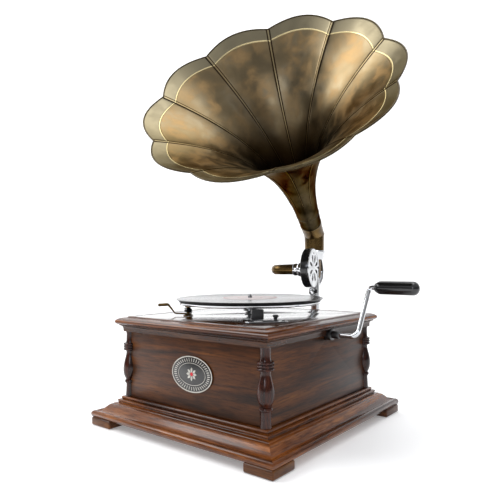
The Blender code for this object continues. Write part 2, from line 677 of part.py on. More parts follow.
def make_speed_lever():
    x, y = POST_XY
    deck = LID_TOP + GAP
    turned("lever_post", "bright_brass", [
        (0.0, 0.1928), (0.0048, 0.1926), (0.0055, 0.1918), (0.0055, 0.1898), (0.0030, 0.1896),
        (0.0030, 0.1778), (0.0075, 0.1776), (0.0082, 0.1768), (0.0082, deck), (0.0, deck),
    ], (x, y, 0), sides=16)
    low = 0.1781
    hub = outline("speed_lever", "bright_brass", [circle(0.0060, 16), circle(0.0034, 16)], low, low + 0.0018, (x, y, 0))
    middle = low + 0.0011
    root, knee = (x - 0.0045, y - 0.0012, middle), (-0.0890, -0.0900, middle)
    crest, tip = (-0.1010, -0.0945, 0.1938), (-0.1140, -0.1050, 0.1930)
    path = [Vector(root), *bend(root, knee, crest, 0.0040, 3), *bend(knee, crest, tip, 0.0040, 3), Vector(tip)]
    radii = [0.75] * 5 + [1.1, 1.25, 1.35, 1.5, 1.45]
    arm = tube("lever_arm", None, path, 0.0018, radii)
    boolean(hub, arm, "UNION")
    turns, steps, coil_radius = 3, 12, 0.0058
    coil = []
    for i in range(turns * steps + 1):
        angle = TAU * i / steps
        height = 0.1815 + 0.0070 * i / (turns * steps)
        coil.append((x + coil_radius * math.cos(angle), y + coil_radius * math.sin(angle), height))
    tube("lever_spring", "black_plastic", coil, 0.0010)
    return hub


# --- bracket, elbow and horn -----------------------------------------------------------------

def make_bracket():
    """One casting: a plate on the rear panel, a column up to the arm and a ring held by a curved spine."""
    face = PANEL_HALF + GAP
    plate = box("back_bracket", "chrome", (-0.032, face, 0.066), (0.032, face + 0.007, 0.138), bevel=0.0020)
    root, foot = (0, face + 0.003, 0.102), (0, PIVOT_Y, 0.102)
    pad = (0, PIVOT_Y, 0.2330)
    column = tube("bracket_column", None, [Vector(root), *bend(root, foot, pad, 0.022, 5), Vector(pad)],
                  COLUMN_RADIUS, resolution=4)
    boolean(plate, column, "UNION")
    back = PIVOT_Y + 0.0235
    spine_path = [(0, PIVOT_Y + 0.001, 0.2170), (0, PIVOT_Y + 0.014, 0.2210), (0, back, 0.2320),
                  (0, back + 0.003, 0.2480), (0, back, 0.2640), (0, PIVOT_Y + 0.0182, 0.2790)]
    boolean(plate, tube("bracket_spine", None, spine_path, 0.0055, [1.1, 1.1, 1.0, 0.95, 0.8, 0.45]), "UNION")
    ring = turned("bracket_ring", None, [
        (RING_OUTER - 0.0012, RING_TOP), (RING_OUTER, RING_TOP - 0.0015), (RING_OUTER, RING_TOP - 0.0050),
        (RING_OUTER - 0.0022, RING_TOP - 0.0080), (RING_OUTER - 0.0022, RING_LOW + 0.0030),
        (RING_OUTER - 0.0040, RING_LOW), (RING_INNER, RING_LOW), (RING_INNER, RING_TOP),
    ], (0, PIVOT_Y, 0), sides=28, ring=True)
    boolean(plate, ring, "UNION")
    front = PIVOT_Y - COLUMN_RADIUS - GAP
    screw = turned("bracket_screw", "black_plastic", [
        (0.0, 0.0085), (0.0038, 0.0083), (0.0050, 0.0072), (0.0050, 0.0034), (0.0030, 0.0026), (0.0030, 0.0),
        (0.0, 0.0),
    ], (0, front, 0.1890), sides=16, along=(0, -1, 0))
    return plate, screw


def horn_axes():
    """Unit vectors out of the mouth, level across it and up along it."""
    out = Vector((math.sin(HORN_SWING) * math.cos(HORN_TILT), -math.cos(HORN_SWING) * math.cos(HORN_TILT),
                  math.sin(HORN_TILT)))
    across = Vector((0, 0, 1)).cross(out).normalized()
    return out, across, out.cross(across)


def horn_length():
    """From the mouth's plane back to where the horn's axis meets the pivot axis."""
    out = horn_axes()[0]
    return (HORN_CENTRE.y - PIVOT_Y) / out.y


def flare(back):
    """The horn's radius at its seams, at a distance behind the mouth."""
    length = horn_length()
    opening = SEAM_RADIUS - NECK_RADIUS - NECK_TAPER * length
    return NECK_RADIUS + NECK_TAPER * (length - back) + opening * max(0.0, 1 - back / FLARE_LENGTH) ** FLARE_POWER


def horn_ring(back, inset, per_petal=4):
    """One ring of the horn's wall: petals bulge between the seams, most at the mouth."""
    out, across, up = horn_axes()
    rise = PETAL_RISE * max(0.0, 1 - back / (0.75 * FLARE_LENGTH)) ** 1.5
    reach = PETAL_REACH * max(0.0, 1 - back / 0.055)
    points = []
    for i in range(PETALS * per_petal):
        petal = math.pi * (i % per_petal) / per_petal
        angle = FIRST_SEAM + TAU * i / (PETALS * per_petal)
        place = back - reach * math.sin(petal)
        radius = flare(place) * (1 + rise * math.sin(petal)) - inset
        centre = HORN_CENTRE - out * place
        points.append(centre + across * radius * math.cos(angle) + up * radius * math.sin(angle))
    return points


def make_horn():
    start = horn_length() - ELBOW_REACH - GAP
    distances = [0.0, 0.006, 0.016, 0.028, 0.044, 0.062, 0.084, 0.110, 0.140, 0.175, 0.215, 0.262, start]
    outer = [horn_ring(back, 0.0) for back in distances]
    inner = [horn_ring(back, HORN_WALL) for back in distances]
    return loft_shell("horn", "antique_brass", outer, inner)


def elbow_ring(centre, normal, cut, radius, sides=24):
    """A ring of a round tube running along normal, cut by a plane through centre with normal cut."""
    side = Vector((0, 0, 1)).cross(horn_axes()[0]).normalized()
    other = normal.cross(side).normalized()
    points = []
    for i in range(sides):
        angle = TAU * i / sides
        point = side * radius * math.cos(angle) + other * radius * math.sin(angle)
        points.append(centre + point - normal * (point.dot(cut) / normal.dot(cut)))
    return points


def make_elbow():
    """A mitred sleeve: upright over the ring, then along the horn's neck."""
    out = horn_axes()[0]
    up = Vector((0, 0, 1))
    corner = HORN_CENTRE - out * horn_length()
    foot = Vector((corner.x, corner.y, RING_TOP + GAP))
    end = corner + out * ELBOW_REACH
    middle = (up + out).normalized()
    rows = []
    neck = flare(horn_length())
    for inset in (0.0, HORN_WALL):
        rows.append([
            elbow_ring(foot, up, up, ELBOW_RADIUS - inset), elbow_ring(corner, up, middle, neck - inset),
            elbow_ring(end, out, out, flare(horn_length() - ELBOW_REACH) - inset),
        ])
    return loft_shell("horn_elbow", "antique_brass", rows[0], rows[1])


# --- tone arm and sound box ------------------------------------------------------------------

def box_axis():
    """The way the sound box faces."""
    return Vector((math.cos(BOX_TURN), math.sin(BOX_TURN), 0))


def make_tone_arm():
    """A tapered tube with an upright sleeve at the pivot."""
    sleeve = turned("tone_arm", "antique_brass", [
        (0.0, 0.2868), (0.0125, 0.2868), (0.0125, 0.2385), (0.0110, 0.2336), (0.0, 0.2336),
    ], (0, PIVOT_Y, 0), sides=20)
    pivot = Vector((0, PIVOT_Y, ARM_Z))
    heading = (ARM_JOINT - pivot).normalized()
    start, end = pivot + heading * 0.002, ARM_JOINT - heading * GAP
    length = (end - start).length
    path = [start + heading * length * i / 6 for i in range(7)]
    arm = tube("arm_tube", None, path, 0.0105, [1.0 - 0.19 * i / 6 for i in range(7)], resolution=3)
    boolean(sleeve, arm, "UNION")
    return sleeve, heading


def make_gooseneck(heading):
    """The bent pipe that turns on the tone arm and carries the sound box."""
    normal = box_axis()
    back = BOX_BACK.copy()
    back.z = ARM_Z
    joint = ARM_JOINT + heading * GAP
    run = -normal
    # corner where the arm's line meets the sound box's line, in plan
    cross = heading.x * run.y - heading.y * run.x
    offset = back - joint
    corner = joint + heading * ((offset.x * run.y - offset.y * run.x) / cross)
    start = back - normal * (0.0005 + GAP)
    path = [start, start - normal * 0.012, *bend(start, corner, joint, 0.0150, 6), joint]
    return smooth(tube("gooseneck", "antique_brass", path, GOOSENECK_RADIUS, resolution=3))


def make_sound_box():
    normal = box_axis()
    case = turned("sound_box_case", "black_plastic", [
        (BOX_RADIUS, BOX_DEPTH - 0.0016), (BOX_RADIUS, 0.0010), (BOX_RADIUS - 0.0010, 0.0), (0.0060, 0.0),
        (0.0060, 0.0020), (BOX_RADIUS - 0.0035, 0.0020), (BOX_RADIUS - 0.0035, BOX_DEPTH - 0.0016),
    ], BOX_BACK, sides=32, along=normal, ring=True)
    slot = box("needle_slot", None, (-0.0030, -0.0050, 0.003), (0.0030, 0.0050, 0.0155))
    slot.matrix_world = Matrix.Translation(BOX_BACK) @ Matrix.Rotation(BOX_TURN, 4, "Z") @ \
        Matrix.Translation((0.0092, 0, -0.0295)) @ Matrix.Rotation(math.radians(90), 4, "Y")
    boolean(case, slot, "DIFFERENCE")
    holes = []
    for i in range(8):                       # a rosette of long petals round a small boss
        angle = TAU * (i + 0.5) / 8
        petal = []
        for j in range(8):
            turn = TAU * j / 8
            along, across = 0.0150 + 0.0075 * math.cos(turn), 0.0026 * math.sin(turn) * (1 + 0.5 * math.cos(turn))
            petal.append((along * math.cos(angle) - across * math.sin(angle),
                          along * math.sin(angle) + across * math.cos(angle)))
        holes.append(petal)
    face = outline("sound_box_face", "chrome", [circle(BOX_RADIUS - 0.0003, 32), *holes],
                   BOX_DEPTH - 0.0013, BOX_DEPTH)
    face.matrix_world = Matrix.Translation(BOX_BACK) @ normal.to_track_quat("Z", "Y").to_matrix().to_4x4() @ \
        face.matrix_world
    diaphragm = cylinder("diaphragm", "mica", BOX_RADIUS - 0.0040, BOX_BACK + normal * 0.0086,
                         BOX_BACK + normal * 0.0091, 28)
    return case, face, diaphragm


def make_needle():
    normal = box_axis()
    middle = BOX_BACK + normal * NEEDLE_OUT
    chuck_top, chuck_low = 0.2225, 0.2125
    bar = turned("needle_bar", "chrome", [
        (0.0, chuck_top), (0.0030, chuck_top), (0.0036, chuck_top - 0.0014), (0.0036, chuck_low + 0.0020),
        (0.0022, chuck_low), (0.0, chuck_low),
    ], (middle.x, middle.y, 0), sides=14)
    tongue_foot = Vector((middle.x, middle.y, chuck_top - 0.003))
    bend_top = BOX_BACK + normal * 0.0108
    bend_low = bend_top + Vector((0, 0, -0.0275))
    boolean(bar, tube("needle_tongue", None, [tongue_foot, bend_low, bend_top], 0.0009), "UNION")
    needle = turned("needle", "steel", [
        (0.0, chuck_low - GAP), (0.0008, chuck_low - GAP), (0.0008, RECORD_TOP + 0.0035), (0.0, RECORD_TOP + GAP),
    ], (middle.x, middle.y, 0), sides=10)
    start = middle + normal * (0.0036 + GAP)
    screw = turned("needle_screw", "black_plastic", [
        (0.0, 0.0070), (0.0022, 0.0069), (0.0030, 0.0060), (0.0030, 0.0026), (0.0012, 0.0024), (0.0012, 0.0),
        (0.0, 0.0),
    ], (start.x, start.y, 0.2180), sides=12, along=normal)
    return bar, needle, screw


# --- assembly --------------------------------------------------------------------------------

clear_scene()
PARTS = collection("wind_up_phonograph")
CUTTERS = collection("cutters")

make_feet()
make_plinth()
make_panels()
make_balusters()
make_lid()
make_badge()
make_crank_bush()
make_motor_frame()

turntable_axis = axis_empty("turntable_axis", (0, 0, RECORD_TOP))
hang(turntable_axis, *make_turntable(), make_spindle())

barrel_pieces, arbor = make_barrel()
hang(axis_empty("barrel_axis", (*BARREL_XY, 0.12)), *barrel_pieces)
hang(axis_empty("arbor_axis", (*BARREL_XY, 0.14)), arbor)
hang(axis_empty("middle_axis", (*MIDDLE_XY, 0.10)), make_middle_gear())
hang(axis_empty("governor_axis", (GOVERNOR_X, 0, GOVERNOR_Z)), *make_governor())

crank_rod, grip = make_crank()
crank_axis = axis_empty("crank_axis", (PANEL_HALF, CRANK_Y, CRANK_Z))
hang(crank_axis, crank_rod, make_winding_shaft())
grip_axis = axis_empty("grip_axis", (GRIP_NEAR, GRIP_Y, GRIP_Z))
hang(grip_axis, grip)
hang(crank_axis, grip_axis)

hang(axis_empty("brake_axis", (*BRAKE_XY, LID_TOP)), *make_brake())
hang(axis_empty("speed_axis", (*POST_XY, LID_TOP)), make_speed_lever())

bracket, thumbscrew = make_bracket()
hang(axis_empty("thumbscrew_axis", (0, PIVOT_Y, 0.1890)), thumbscrew)
hang(axis_empty("horn_axis", (0, PIVOT_Y, RING_TOP)), make_elbow(), make_horn())

tone_arm, arm_heading = make_tone_arm()
arm_axis = axis_empty("tone_arm_axis", (0, PIVOT_Y, ARM_Z))
hang(arm_axis, tone_arm)
flip_axis = axis_empty("gooseneck_axis", ARM_JOINT)
hang(flip_axis, make_gooseneck(arm_heading), *make_sound_box())
hang(arm_axis, flip_axis)
stylus_bar, stylus, stylus_screw = make_needle()
stylus_axis = axis_empty("needle_axis", (BOX_BACK.x, BOX_BACK.y, BOX_BACK.z - BOX_RADIUS))
hang(stylus_axis, stylus_bar, stylus, stylus_screw)
hang(flip_axis, stylus_axis)

bpy.context.view_layer.update()
whole = axis_empty("phonograph", (0, 0, 0))
for piece in [obj for obj in bpy.data.objects if obj.parent is None and obj is not whole]:
    hang(whole, piece)
whole.location = (CABINET_X, CABINET_Y, 0)
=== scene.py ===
import json
import math

import bmesh
import bpy
from mathutils import Matrix, Vector

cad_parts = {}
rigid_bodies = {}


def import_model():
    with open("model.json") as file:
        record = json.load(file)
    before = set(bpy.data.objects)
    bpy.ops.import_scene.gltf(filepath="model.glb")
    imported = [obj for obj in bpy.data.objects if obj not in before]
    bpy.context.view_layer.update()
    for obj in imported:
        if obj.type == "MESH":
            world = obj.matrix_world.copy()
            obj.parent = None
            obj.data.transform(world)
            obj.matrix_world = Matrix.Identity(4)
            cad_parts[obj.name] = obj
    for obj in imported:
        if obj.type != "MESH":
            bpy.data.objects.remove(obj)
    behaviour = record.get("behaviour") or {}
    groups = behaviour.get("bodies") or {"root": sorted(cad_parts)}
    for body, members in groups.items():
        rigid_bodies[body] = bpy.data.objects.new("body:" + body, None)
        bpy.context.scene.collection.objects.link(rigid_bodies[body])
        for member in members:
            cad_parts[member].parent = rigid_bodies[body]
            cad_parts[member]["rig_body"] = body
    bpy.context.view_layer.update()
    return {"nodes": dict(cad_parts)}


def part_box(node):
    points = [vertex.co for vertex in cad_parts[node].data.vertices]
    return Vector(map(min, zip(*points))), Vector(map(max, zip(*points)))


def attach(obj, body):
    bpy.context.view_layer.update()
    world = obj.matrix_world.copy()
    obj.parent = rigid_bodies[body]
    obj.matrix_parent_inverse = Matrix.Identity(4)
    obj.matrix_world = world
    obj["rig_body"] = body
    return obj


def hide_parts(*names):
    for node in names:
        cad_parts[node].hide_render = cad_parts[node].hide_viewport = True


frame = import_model()
nodes = frame["nodes"]
print("frame loaded:", len(nodes), "parts")

tau = 2 * math.pi
recordLow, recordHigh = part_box("record")
spin = (recordLow + recordHigh) / 2  # the turntable's axis, everything is set out from it


def place(x, y, z):  # a point set out from the turntable's axis and the table
    return Vector((spin.x + x, spin.y + y, z))


def middle(node):
    low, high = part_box(node)
    return (low + high) / 2


# nodes, materials and meshes

def hexColour(code, alpha=1.0):  # sRGB hex to linear
    parts = [int(code[i:i + 2], 16) / 255 for i in (1, 3, 5)]
    return (*(p / 12.92 if p <= 0.04045 else ((p + 0.055) / 1.055) ** 2.4 for p in parts), alpha)


def addNode(tree, kind, inputs=None, **settings):  # a node, its settings, its values and what feeds it
    node = tree.nodes.new(kind)
    for name, value in settings.items():
        setattr(node, name, value)
    for name, value in (inputs or {}).items():
        if isinstance(value, bpy.types.Node):
            value = value.outputs[0]
        if isinstance(value, bpy.types.NodeSocket):
            tree.links.new(value, node.inputs[name])
        else:
            node.inputs[name].default_value = value
    return node


def addSteps(tree, known, steps):  # a chain of sums and ramps, each row named, with earlier rows as its terms
    for name, operation, *terms in steps:
        isRamp = operation in ("LINEAR", "SMOOTHSTEP")
        known[name] = addNode(tree, "ShaderNodeMapRange" if isRamp else "ShaderNodeMath",
                              {slot: known.get(term, term) for slot, term in enumerate(terms)},
                              **{"interpolation_type" if isRamp else "operation": operation})


def newMaterial(name, **values):  # a Principled material with its uniform values set
    material = bpy.data.materials.new(name)
    material.use_nodes = True
    shader = material.node_tree.nodes["Principled BSDF"]
    for key, value in values.items():
        shader.inputs[key.replace("_", " ")].default_value = value
    return material, material.node_tree, shader


def setRamp(node, stops):  # colour stops as (position, hex)
    ramp = node.color_ramp
    ramp.elements[0].position, ramp.elements[0].color = stops[0][0], hexColour(stops[0][1])
    ramp.elements[1].position, ramp.elements[1].color = stops[-1][0], hexColour(stops[-1][1])
    for position, code in stops[1:-1]:
        ramp.elements.new(position).color = hexColour(code)
    return node


def makeObject(name, mesh, *materials):
    obj = bpy.data.objects.new(name, mesh)
    bpy.context.scene.collection.objects.link(obj)
    for material in materials:
        mesh.materials.append(material)
    return obj


def meshFrom(work, name):
    mesh = bpy.data.meshes.new(name)
    work.to_mesh(mesh)
    work.free()
    return mesh


def smoothEdges(mesh, angle=32):
    mesh.shade_smooth()
    mesh.set_sharp_from_angle(angle=math.radians(angle))


def bake(obj, name=None):  # the evaluated object as one plain mesh at the origin
    bpy.context.view_layer.update()
    mesh = bpy.data.meshes.new_from_object(obj.evaluated_get(bpy.context.evaluated_depsgraph_get()))
    mesh.transform(obj.matrix_world)
    materials = [slot.material for slot in obj.material_slots if slot.material]
    label = name or obj.name
    bpy.data.objects.remove(obj)
    made = bpy.data.objects.new(label, mesh)
    bpy.context.scene.collection.objects.link(made)
    if not mesh.materials:
        for material in materials:
            mesh.materials.append(material)
    return made


def refined(node, material, bevel=0.0, segments=2, angle=32):  # the CAD part welded, with softened edges
    source = nodes[node]
    work = bmesh.new()
    work.from_mesh(source.data)
    bmesh.ops.remove_doubles(work, verts=work.verts, dist=0.000005)
    bmesh.ops.dissolve_limit(work, angle_limit=math.radians(0.6), verts=work.verts, edges=work.edges)
    obj = makeObject(node + "_finish", meshFrom(work, node + "_finish"), material)
    if bevel:
        step = obj.modifiers.new("softened", "BEVEL")
        step.width, step.segments, step.limit_method = bevel, segments, "ANGLE"
        step.angle_limit = math.radians(30)
        step.miter_outer = "MITER_ARC"
    obj = bake(obj)
    smoothEdges(obj.data, angle)
    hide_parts(node)
    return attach(obj, nodes[node]["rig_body"])


def turned(name, profile, origin, along, material, sides=64, closed=False):  # (radius, distance along) turned
    work = bmesh.new()
    points = [work.verts.new((radius, 0, height)) for radius, height in profile]
    edges = [work.edges.new(pair) for pair in zip(points, points[1:])]
    if closed:
        edges.append(work.edges.new((points[-1], points[0])))
    bmesh.ops.spin(work, geom=points + edges, cent=(0, 0, 0), axis=(0, 0, 1), angle=tau, steps=sides)
    bmesh.ops.remove_doubles(work, verts=work.verts, dist=0.000002)
    bmesh.ops.recalc_face_normals(work, faces=work.faces)
    work.transform(Matrix.Translation(origin) @ Vector(along).to_track_quat("Z", "Y").to_matrix().to_4x4())
    mesh = meshFrom(work, name)
    smoothEdges(mesh)
    return makeObject(name, mesh, material)


def rod(name, points, radii, material, sides=20):  # a round rod through points, its radius given at each
    curve = bpy.data.curves.new(name, "CURVE")
    curve.dimensions, curve.bevel_depth, curve.bevel_resolution = "3D", 1.0, sides // 4
    curve.use_fill_caps = True
    spline = curve.splines.new("POLY")
    spline.points.add(len(points) - 1)
    for point, spot, radius in zip(spline.points, points, radii):
        point.co, point.radius = (*spot, 1), radius
    obj = bpy.data.objects.new(name, curve)
    bpy.context.scene.collection.objects.link(obj)
    curve.materials.append(material)
    obj = bake(obj)
    work = bmesh.new()
    work.from_mesh(obj.data)
    bmesh.ops.remove_doubles(work, verts=work.verts, dist=0.000002)
    work.to_mesh(obj.data)
    work.free()
    smoothEdges(obj.data, 40)
    return obj


def rounded(points, radius, steps=8):  # a path with its corners rounded
    path = [Vector(points[0])]
    for before, corner, after in zip(points, points[1:], points[2:]):
        before, corner, after = Vector(before), Vector(corner), Vector(after)
        back, ahead = (before - corner).normalized(), (after - corner).normalized()
        half = back.angle(ahead) / 2
        centre = corner + (back + ahead).normalized() * radius / math.sin(half)
        start = corner + back * radius / math.tan(half)
        end = corner + ahead * radius / math.tan(half)
        axis, angle = (start - centre).rotation_difference(end - centre).to_axis_angle()
        path += [centre + Matrix.Rotation(angle * i / steps, 3, axis) @ (start - centre)
                 for i in range(steps + 1)]
    return path + [Vector(points[-1])]


def joined(name, pieces, body):  # several loose pieces as one object that rides on a body
    work = bmesh.new()
    mesh = bpy.data.meshes.new(name)
    for piece in pieces:
        for material in piece.data.materials:
            if material.name not in [m.name for m in mesh.materials]:
                mesh.materials.append(material)
    order = [m.name for m in mesh.materials]
    for piece in pieces:
        first = len(work.faces)
        work.from_mesh(piece.data)
        work.faces.ensure_lookup_table()
        names = [m.name for m in piece.data.materials]
        for face in work.faces[first:]:
            face.material_index = order.index(names[min(face.material_index, len(names) - 1)])
        bpy.data.objects.remove(piece)
    work.to_mesh(mesh)
    work.free()
    obj = makeObject(name, mesh)
    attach(obj, body)
    return obj


# finishes

def woodMaterial(name, dark, mid, light, grainAxis, grain=0.0016, rough=0.28, coat=0.35):
    # stained hardwood under varnish: long soft figure, fine pores, a clear coat that catches the lights
    material, tree, shader = newMaterial(name, Roughness=rough, IOR=1.5, Specular_IOR_Level=0.25,
                                         Coat_Weight=coat, Coat_Roughness=0.12)
    where = addNode(tree, "ShaderNodeTexCoord")
    centred = addNode(tree, "ShaderNodeMapping", {"Vector": where.outputs["Object"],
                                                  "Location": (-spin.x, -spin.y, 0)})
    axes = addNode(tree, "ShaderNodeSeparateXYZ", {0: centred})
    if grainAxis == "frame":  # mitred pieces: the grain follows each side
        absX = addNode(tree, "ShaderNodeMath", {0: axes.outputs["X"]}, operation="ABSOLUTE")
        absY = addNode(tree, "ShaderNodeMath", {0: axes.outputs["Y"]}, operation="ABSOLUTE")
        side = addNode(tree, "ShaderNodeMath", {0: absX, 1: absY}, operation="GREATER_THAN")
        along = addNode(tree, "ShaderNodeMix", {0: side, 2: axes.outputs["X"], 3: axes.outputs["Y"]})
        across = addNode(tree, "ShaderNodeMix", {0: side, 2: axes.outputs["Y"], 3: axes.outputs["X"]})
        lengthways, crossways, third = along, across, axes.outputs["Z"]
    else:
        order = {"x": ("X", "Y", "Z"), "y": ("Y", "X", "Z"), "z": ("Z", "X", "Y")}[grainAxis]
        lengthways, crossways, third = (axes.outputs[letter] for letter in order)
    stretched = addNode(tree, "ShaderNodeCombineXYZ", {
        0: addNode(tree, "ShaderNodeMath", {0: lengthways, 1: 0.07}, operation="MULTIPLY"),
        1: crossways, 2: third})
    figure = addNode(tree, "ShaderNodeTexNoise", {
        "Vector": stretched, "Scale": 0.09 / grain, "Detail": 4.0, "Roughness": 0.6, "Distortion": 0.6})
    pores = addNode(tree, "ShaderNodeTexNoise", {
        "Vector": stretched, "Scale": 0.9 / grain, "Detail": 3.0, "Roughness": 0.7})
    cloud = addNode(tree, "ShaderNodeTexNoise", {"Vector": centred, "Scale": 9.0, "Detail": 2.0})
    colour = setRamp(addNode(tree, "ShaderNodeValToRGB", {0: figure}),
                     [(0.34, dark), (0.52, mid), (0.70, light)])
    stripes = setRamp(addNode(tree, "ShaderNodeValToRGB", {0: pores}), [(0.36, "#8f8880"), (0.56, "#ffffff")])
    tint = setRamp(addNode(tree, "ShaderNodeValToRGB", {0: cloud}), [(0.30, "#c8bdb4"), (0.70, "#ffffff")])
    striped = addNode(tree, "ShaderNodeMix", {0: 0.8, 6: colour, 7: stripes}, data_type="RGBA",
                      blend_type="MULTIPLY")
    final = addNode(tree, "ShaderNodeMix", {0: 1.0, 6: striped.outputs[2], 7: tint},
                    data_type="RGBA", blend_type="MULTIPLY")
    tree.links.new(final.outputs[2], shader.inputs["Base Color"])
    height = addNode(tree, "ShaderNodeBump", {"Height": pores, "Strength": 0.12, "Distance": 0.0003})
    tree.links.new(height.outputs[0], shader.inputs["Normal"])
    return material


def metalMaterial(name, base, stain, rough, metallic=1.0, scale=60.0, scratch=0.1, amount=0.5):
    # metal with faint clouds of tarnish and fine handling marks
    material, tree, shader = newMaterial(name, Metallic=metallic, Roughness=rough)
    where = addNode(tree, "ShaderNodeTexCoord")
    cloud = addNode(tree, "ShaderNodeTexNoise", {
        "Vector": where.outputs["Object"], "Scale": scale, "Detail": 4.0, "Roughness": 0.6})
    marks = addNode(tree, "ShaderNodeTexNoise", {
        "Vector": where.outputs["Object"], "Scale": scale * 14, "Detail": 3.0, "Roughness": 0.7})
    share = addNode(tree, "ShaderNodeMapRange", {0: cloud, 1: 0.42, 2: 0.68, 3: 0.0, 4: amount})
    tone = addNode(tree, "ShaderNodeMix", {0: share, 6: hexColour(base), 7: hexColour(stain)},
                   data_type="RGBA")
    tree.links.new(tone.outputs[2], shader.inputs["Base Color"])
    worn = addNode(tree, "ShaderNodeMapRange", {0: marks, 1: 0.3, 2: 0.7, 3: rough * 0.8, 4: rough * 1.35})
    tree.links.new(worn.outputs[0], shader.inputs["Roughness"])
    height = addNode(tree, "ShaderNodeBump", {"Height": marks, "Strength": scratch, "Distance": 0.0001})
    tree.links.new(height.outputs[0], shader.inputs["Normal"])
    return material


def makeHornMaterial():
    # sheet brass, chemically bronzed: olive ground, gold and tan blooms, dark solder lines beside the seams;
    # the colour is painted darker down the throat towards the neck as painted shade
    material, tree, shader = newMaterial("bronzed brass sheet", Metallic=1.0,
                                         Specular_Tint=hexColour("#a39680"))
    where = addNode(tree, "ShaderNodeTexCoord").outputs["Object"]
    wide = addNode(tree, "ShaderNodeTexNoise", {"Vector": where, "Scale": 14.0, "Detail": 3.0,
                                                "Distortion": 0.5})
    fine = addNode(tree, "ShaderNodeTexNoise", {
        "Vector": where, "Scale": 38.0, "Detail": 3.0, "Roughness": 0.5, "Distortion": 0.4})
    grit = addNode(tree, "ShaderNodeTexNoise", {"Vector": where, "Scale": 420.0, "Detail": 3.0})
    known = {label: addNode(tree, "ShaderNodeAttribute", attribute_name=label).outputs["Fac"]
             for label in ("mouthDepth", "seamOffset", "outside", "petalBloom")}
    known["fine"] = fine
    addSteps(tree, known, [  # a ramp's terms: what it reads, where it starts and ends, its value there
        ("mottle", "SMOOTHSTEP", "fine", 0.38, 0.60, 0.20, 0.85),
        ("gold", "MULTIPLY", "petalBloom", "mottle"),
        ("rimBand", "SMOOTHSTEP", "mouthDepth", 0.0124, 0.0112, 0.0, 1.0),
        # painted shade: the colour darkens deeper in the throat, standing in for the shade inside the horn
        ("throat", "SMOOTHSTEP", "mouthDepth", 0.05, 0.19, 0.0, 0.88),
        ("lineStart", "SMOOTHSTEP", "mouthDepth", 0.0111, 0.0117, 0.0, 1.0),
        ("lineEnd", "SMOOTHSTEP", "mouthDepth", 0.0122, 0.0129, 1.0, 0.0),
        ("line", "MULTIPLY", "lineStart", "lineEnd"),
        ("grooveStart", "SMOOTHSTEP", "seamOffset", 0.45, 0.75, 0.0, 0.95),
        ("grooveEnd", "SMOOTHSTEP", "seamOffset", 1.25, 1.75, 1.0, 0.0),
        ("groove", "MULTIPLY", "grooveStart", "grooveEnd"),
        ("ridge", "SMOOTHSTEP", "seamOffset", 0.42, 0.18, 0.0, 0.45),
        ("gloss", "SMOOTHSTEP", "fine", 0.3, 0.7, 0.28, 0.42)])
    body = setRamp(addNode(tree, "ShaderNodeValToRGB", {0: wide}),
                   [(0.32, "#665a45"), (0.48, "#76684f"), (0.60, "#80745d"), (0.72, "#6b5f4a")])
    patches = setRamp(addNode(tree, "ShaderNodeValToRGB", {0: fine}),
                      [(0.35, "#71634a"), (0.52, "#866f4e"), (0.66, "#967b55"), (0.76, "#80735b")])
    olive = setRamp(addNode(tree, "ShaderNodeValToRGB", {0: fine}),
                    [(0.34, "#2b251b"), (0.50, "#453d2e"), (0.62, "#524938"), (0.74, "#453629")])
    # the throat layer is painted shade, a dark brown laid over the sheet deep in the horn
    layers = [("gold", patches), ("rimBand", hexColour("#7d7560")), ("throat", hexColour("#332718")),
              ("line", hexColour("#c9b98c")), ("outside", olive), ("groove", hexColour("#1d110a")),
              ("ridge", hexColour("#a89468"))]
    for share, colour in layers:
        body = addNode(tree, "ShaderNodeMix", {0: known[share], 6: body, 7: colour},
                       data_type="RGBA").outputs[2]
    tree.links.new(body, shader.inputs["Base Color"])
    tree.links.new(known["gloss"].outputs[0], shader.inputs["Roughness"])
    dents = addNode(tree, "ShaderNodeBump", {"Height": wide, "Strength": 0.3, "Distance": 0.002})
    skin = addNode(tree, "ShaderNodeBump", {"Height": grit, "Strength": 0.06, "Distance": 0.0001,
                                            "Normal": dents})
    pressed = addNode(tree, "ShaderNodeBump", {
        "Height": known["line"], "Strength": 0.8, "Distance": 0.0007, "Normal": skin})
    tree.links.new(pressed.outputs[0], shader.inputs["Normal"])
    return material


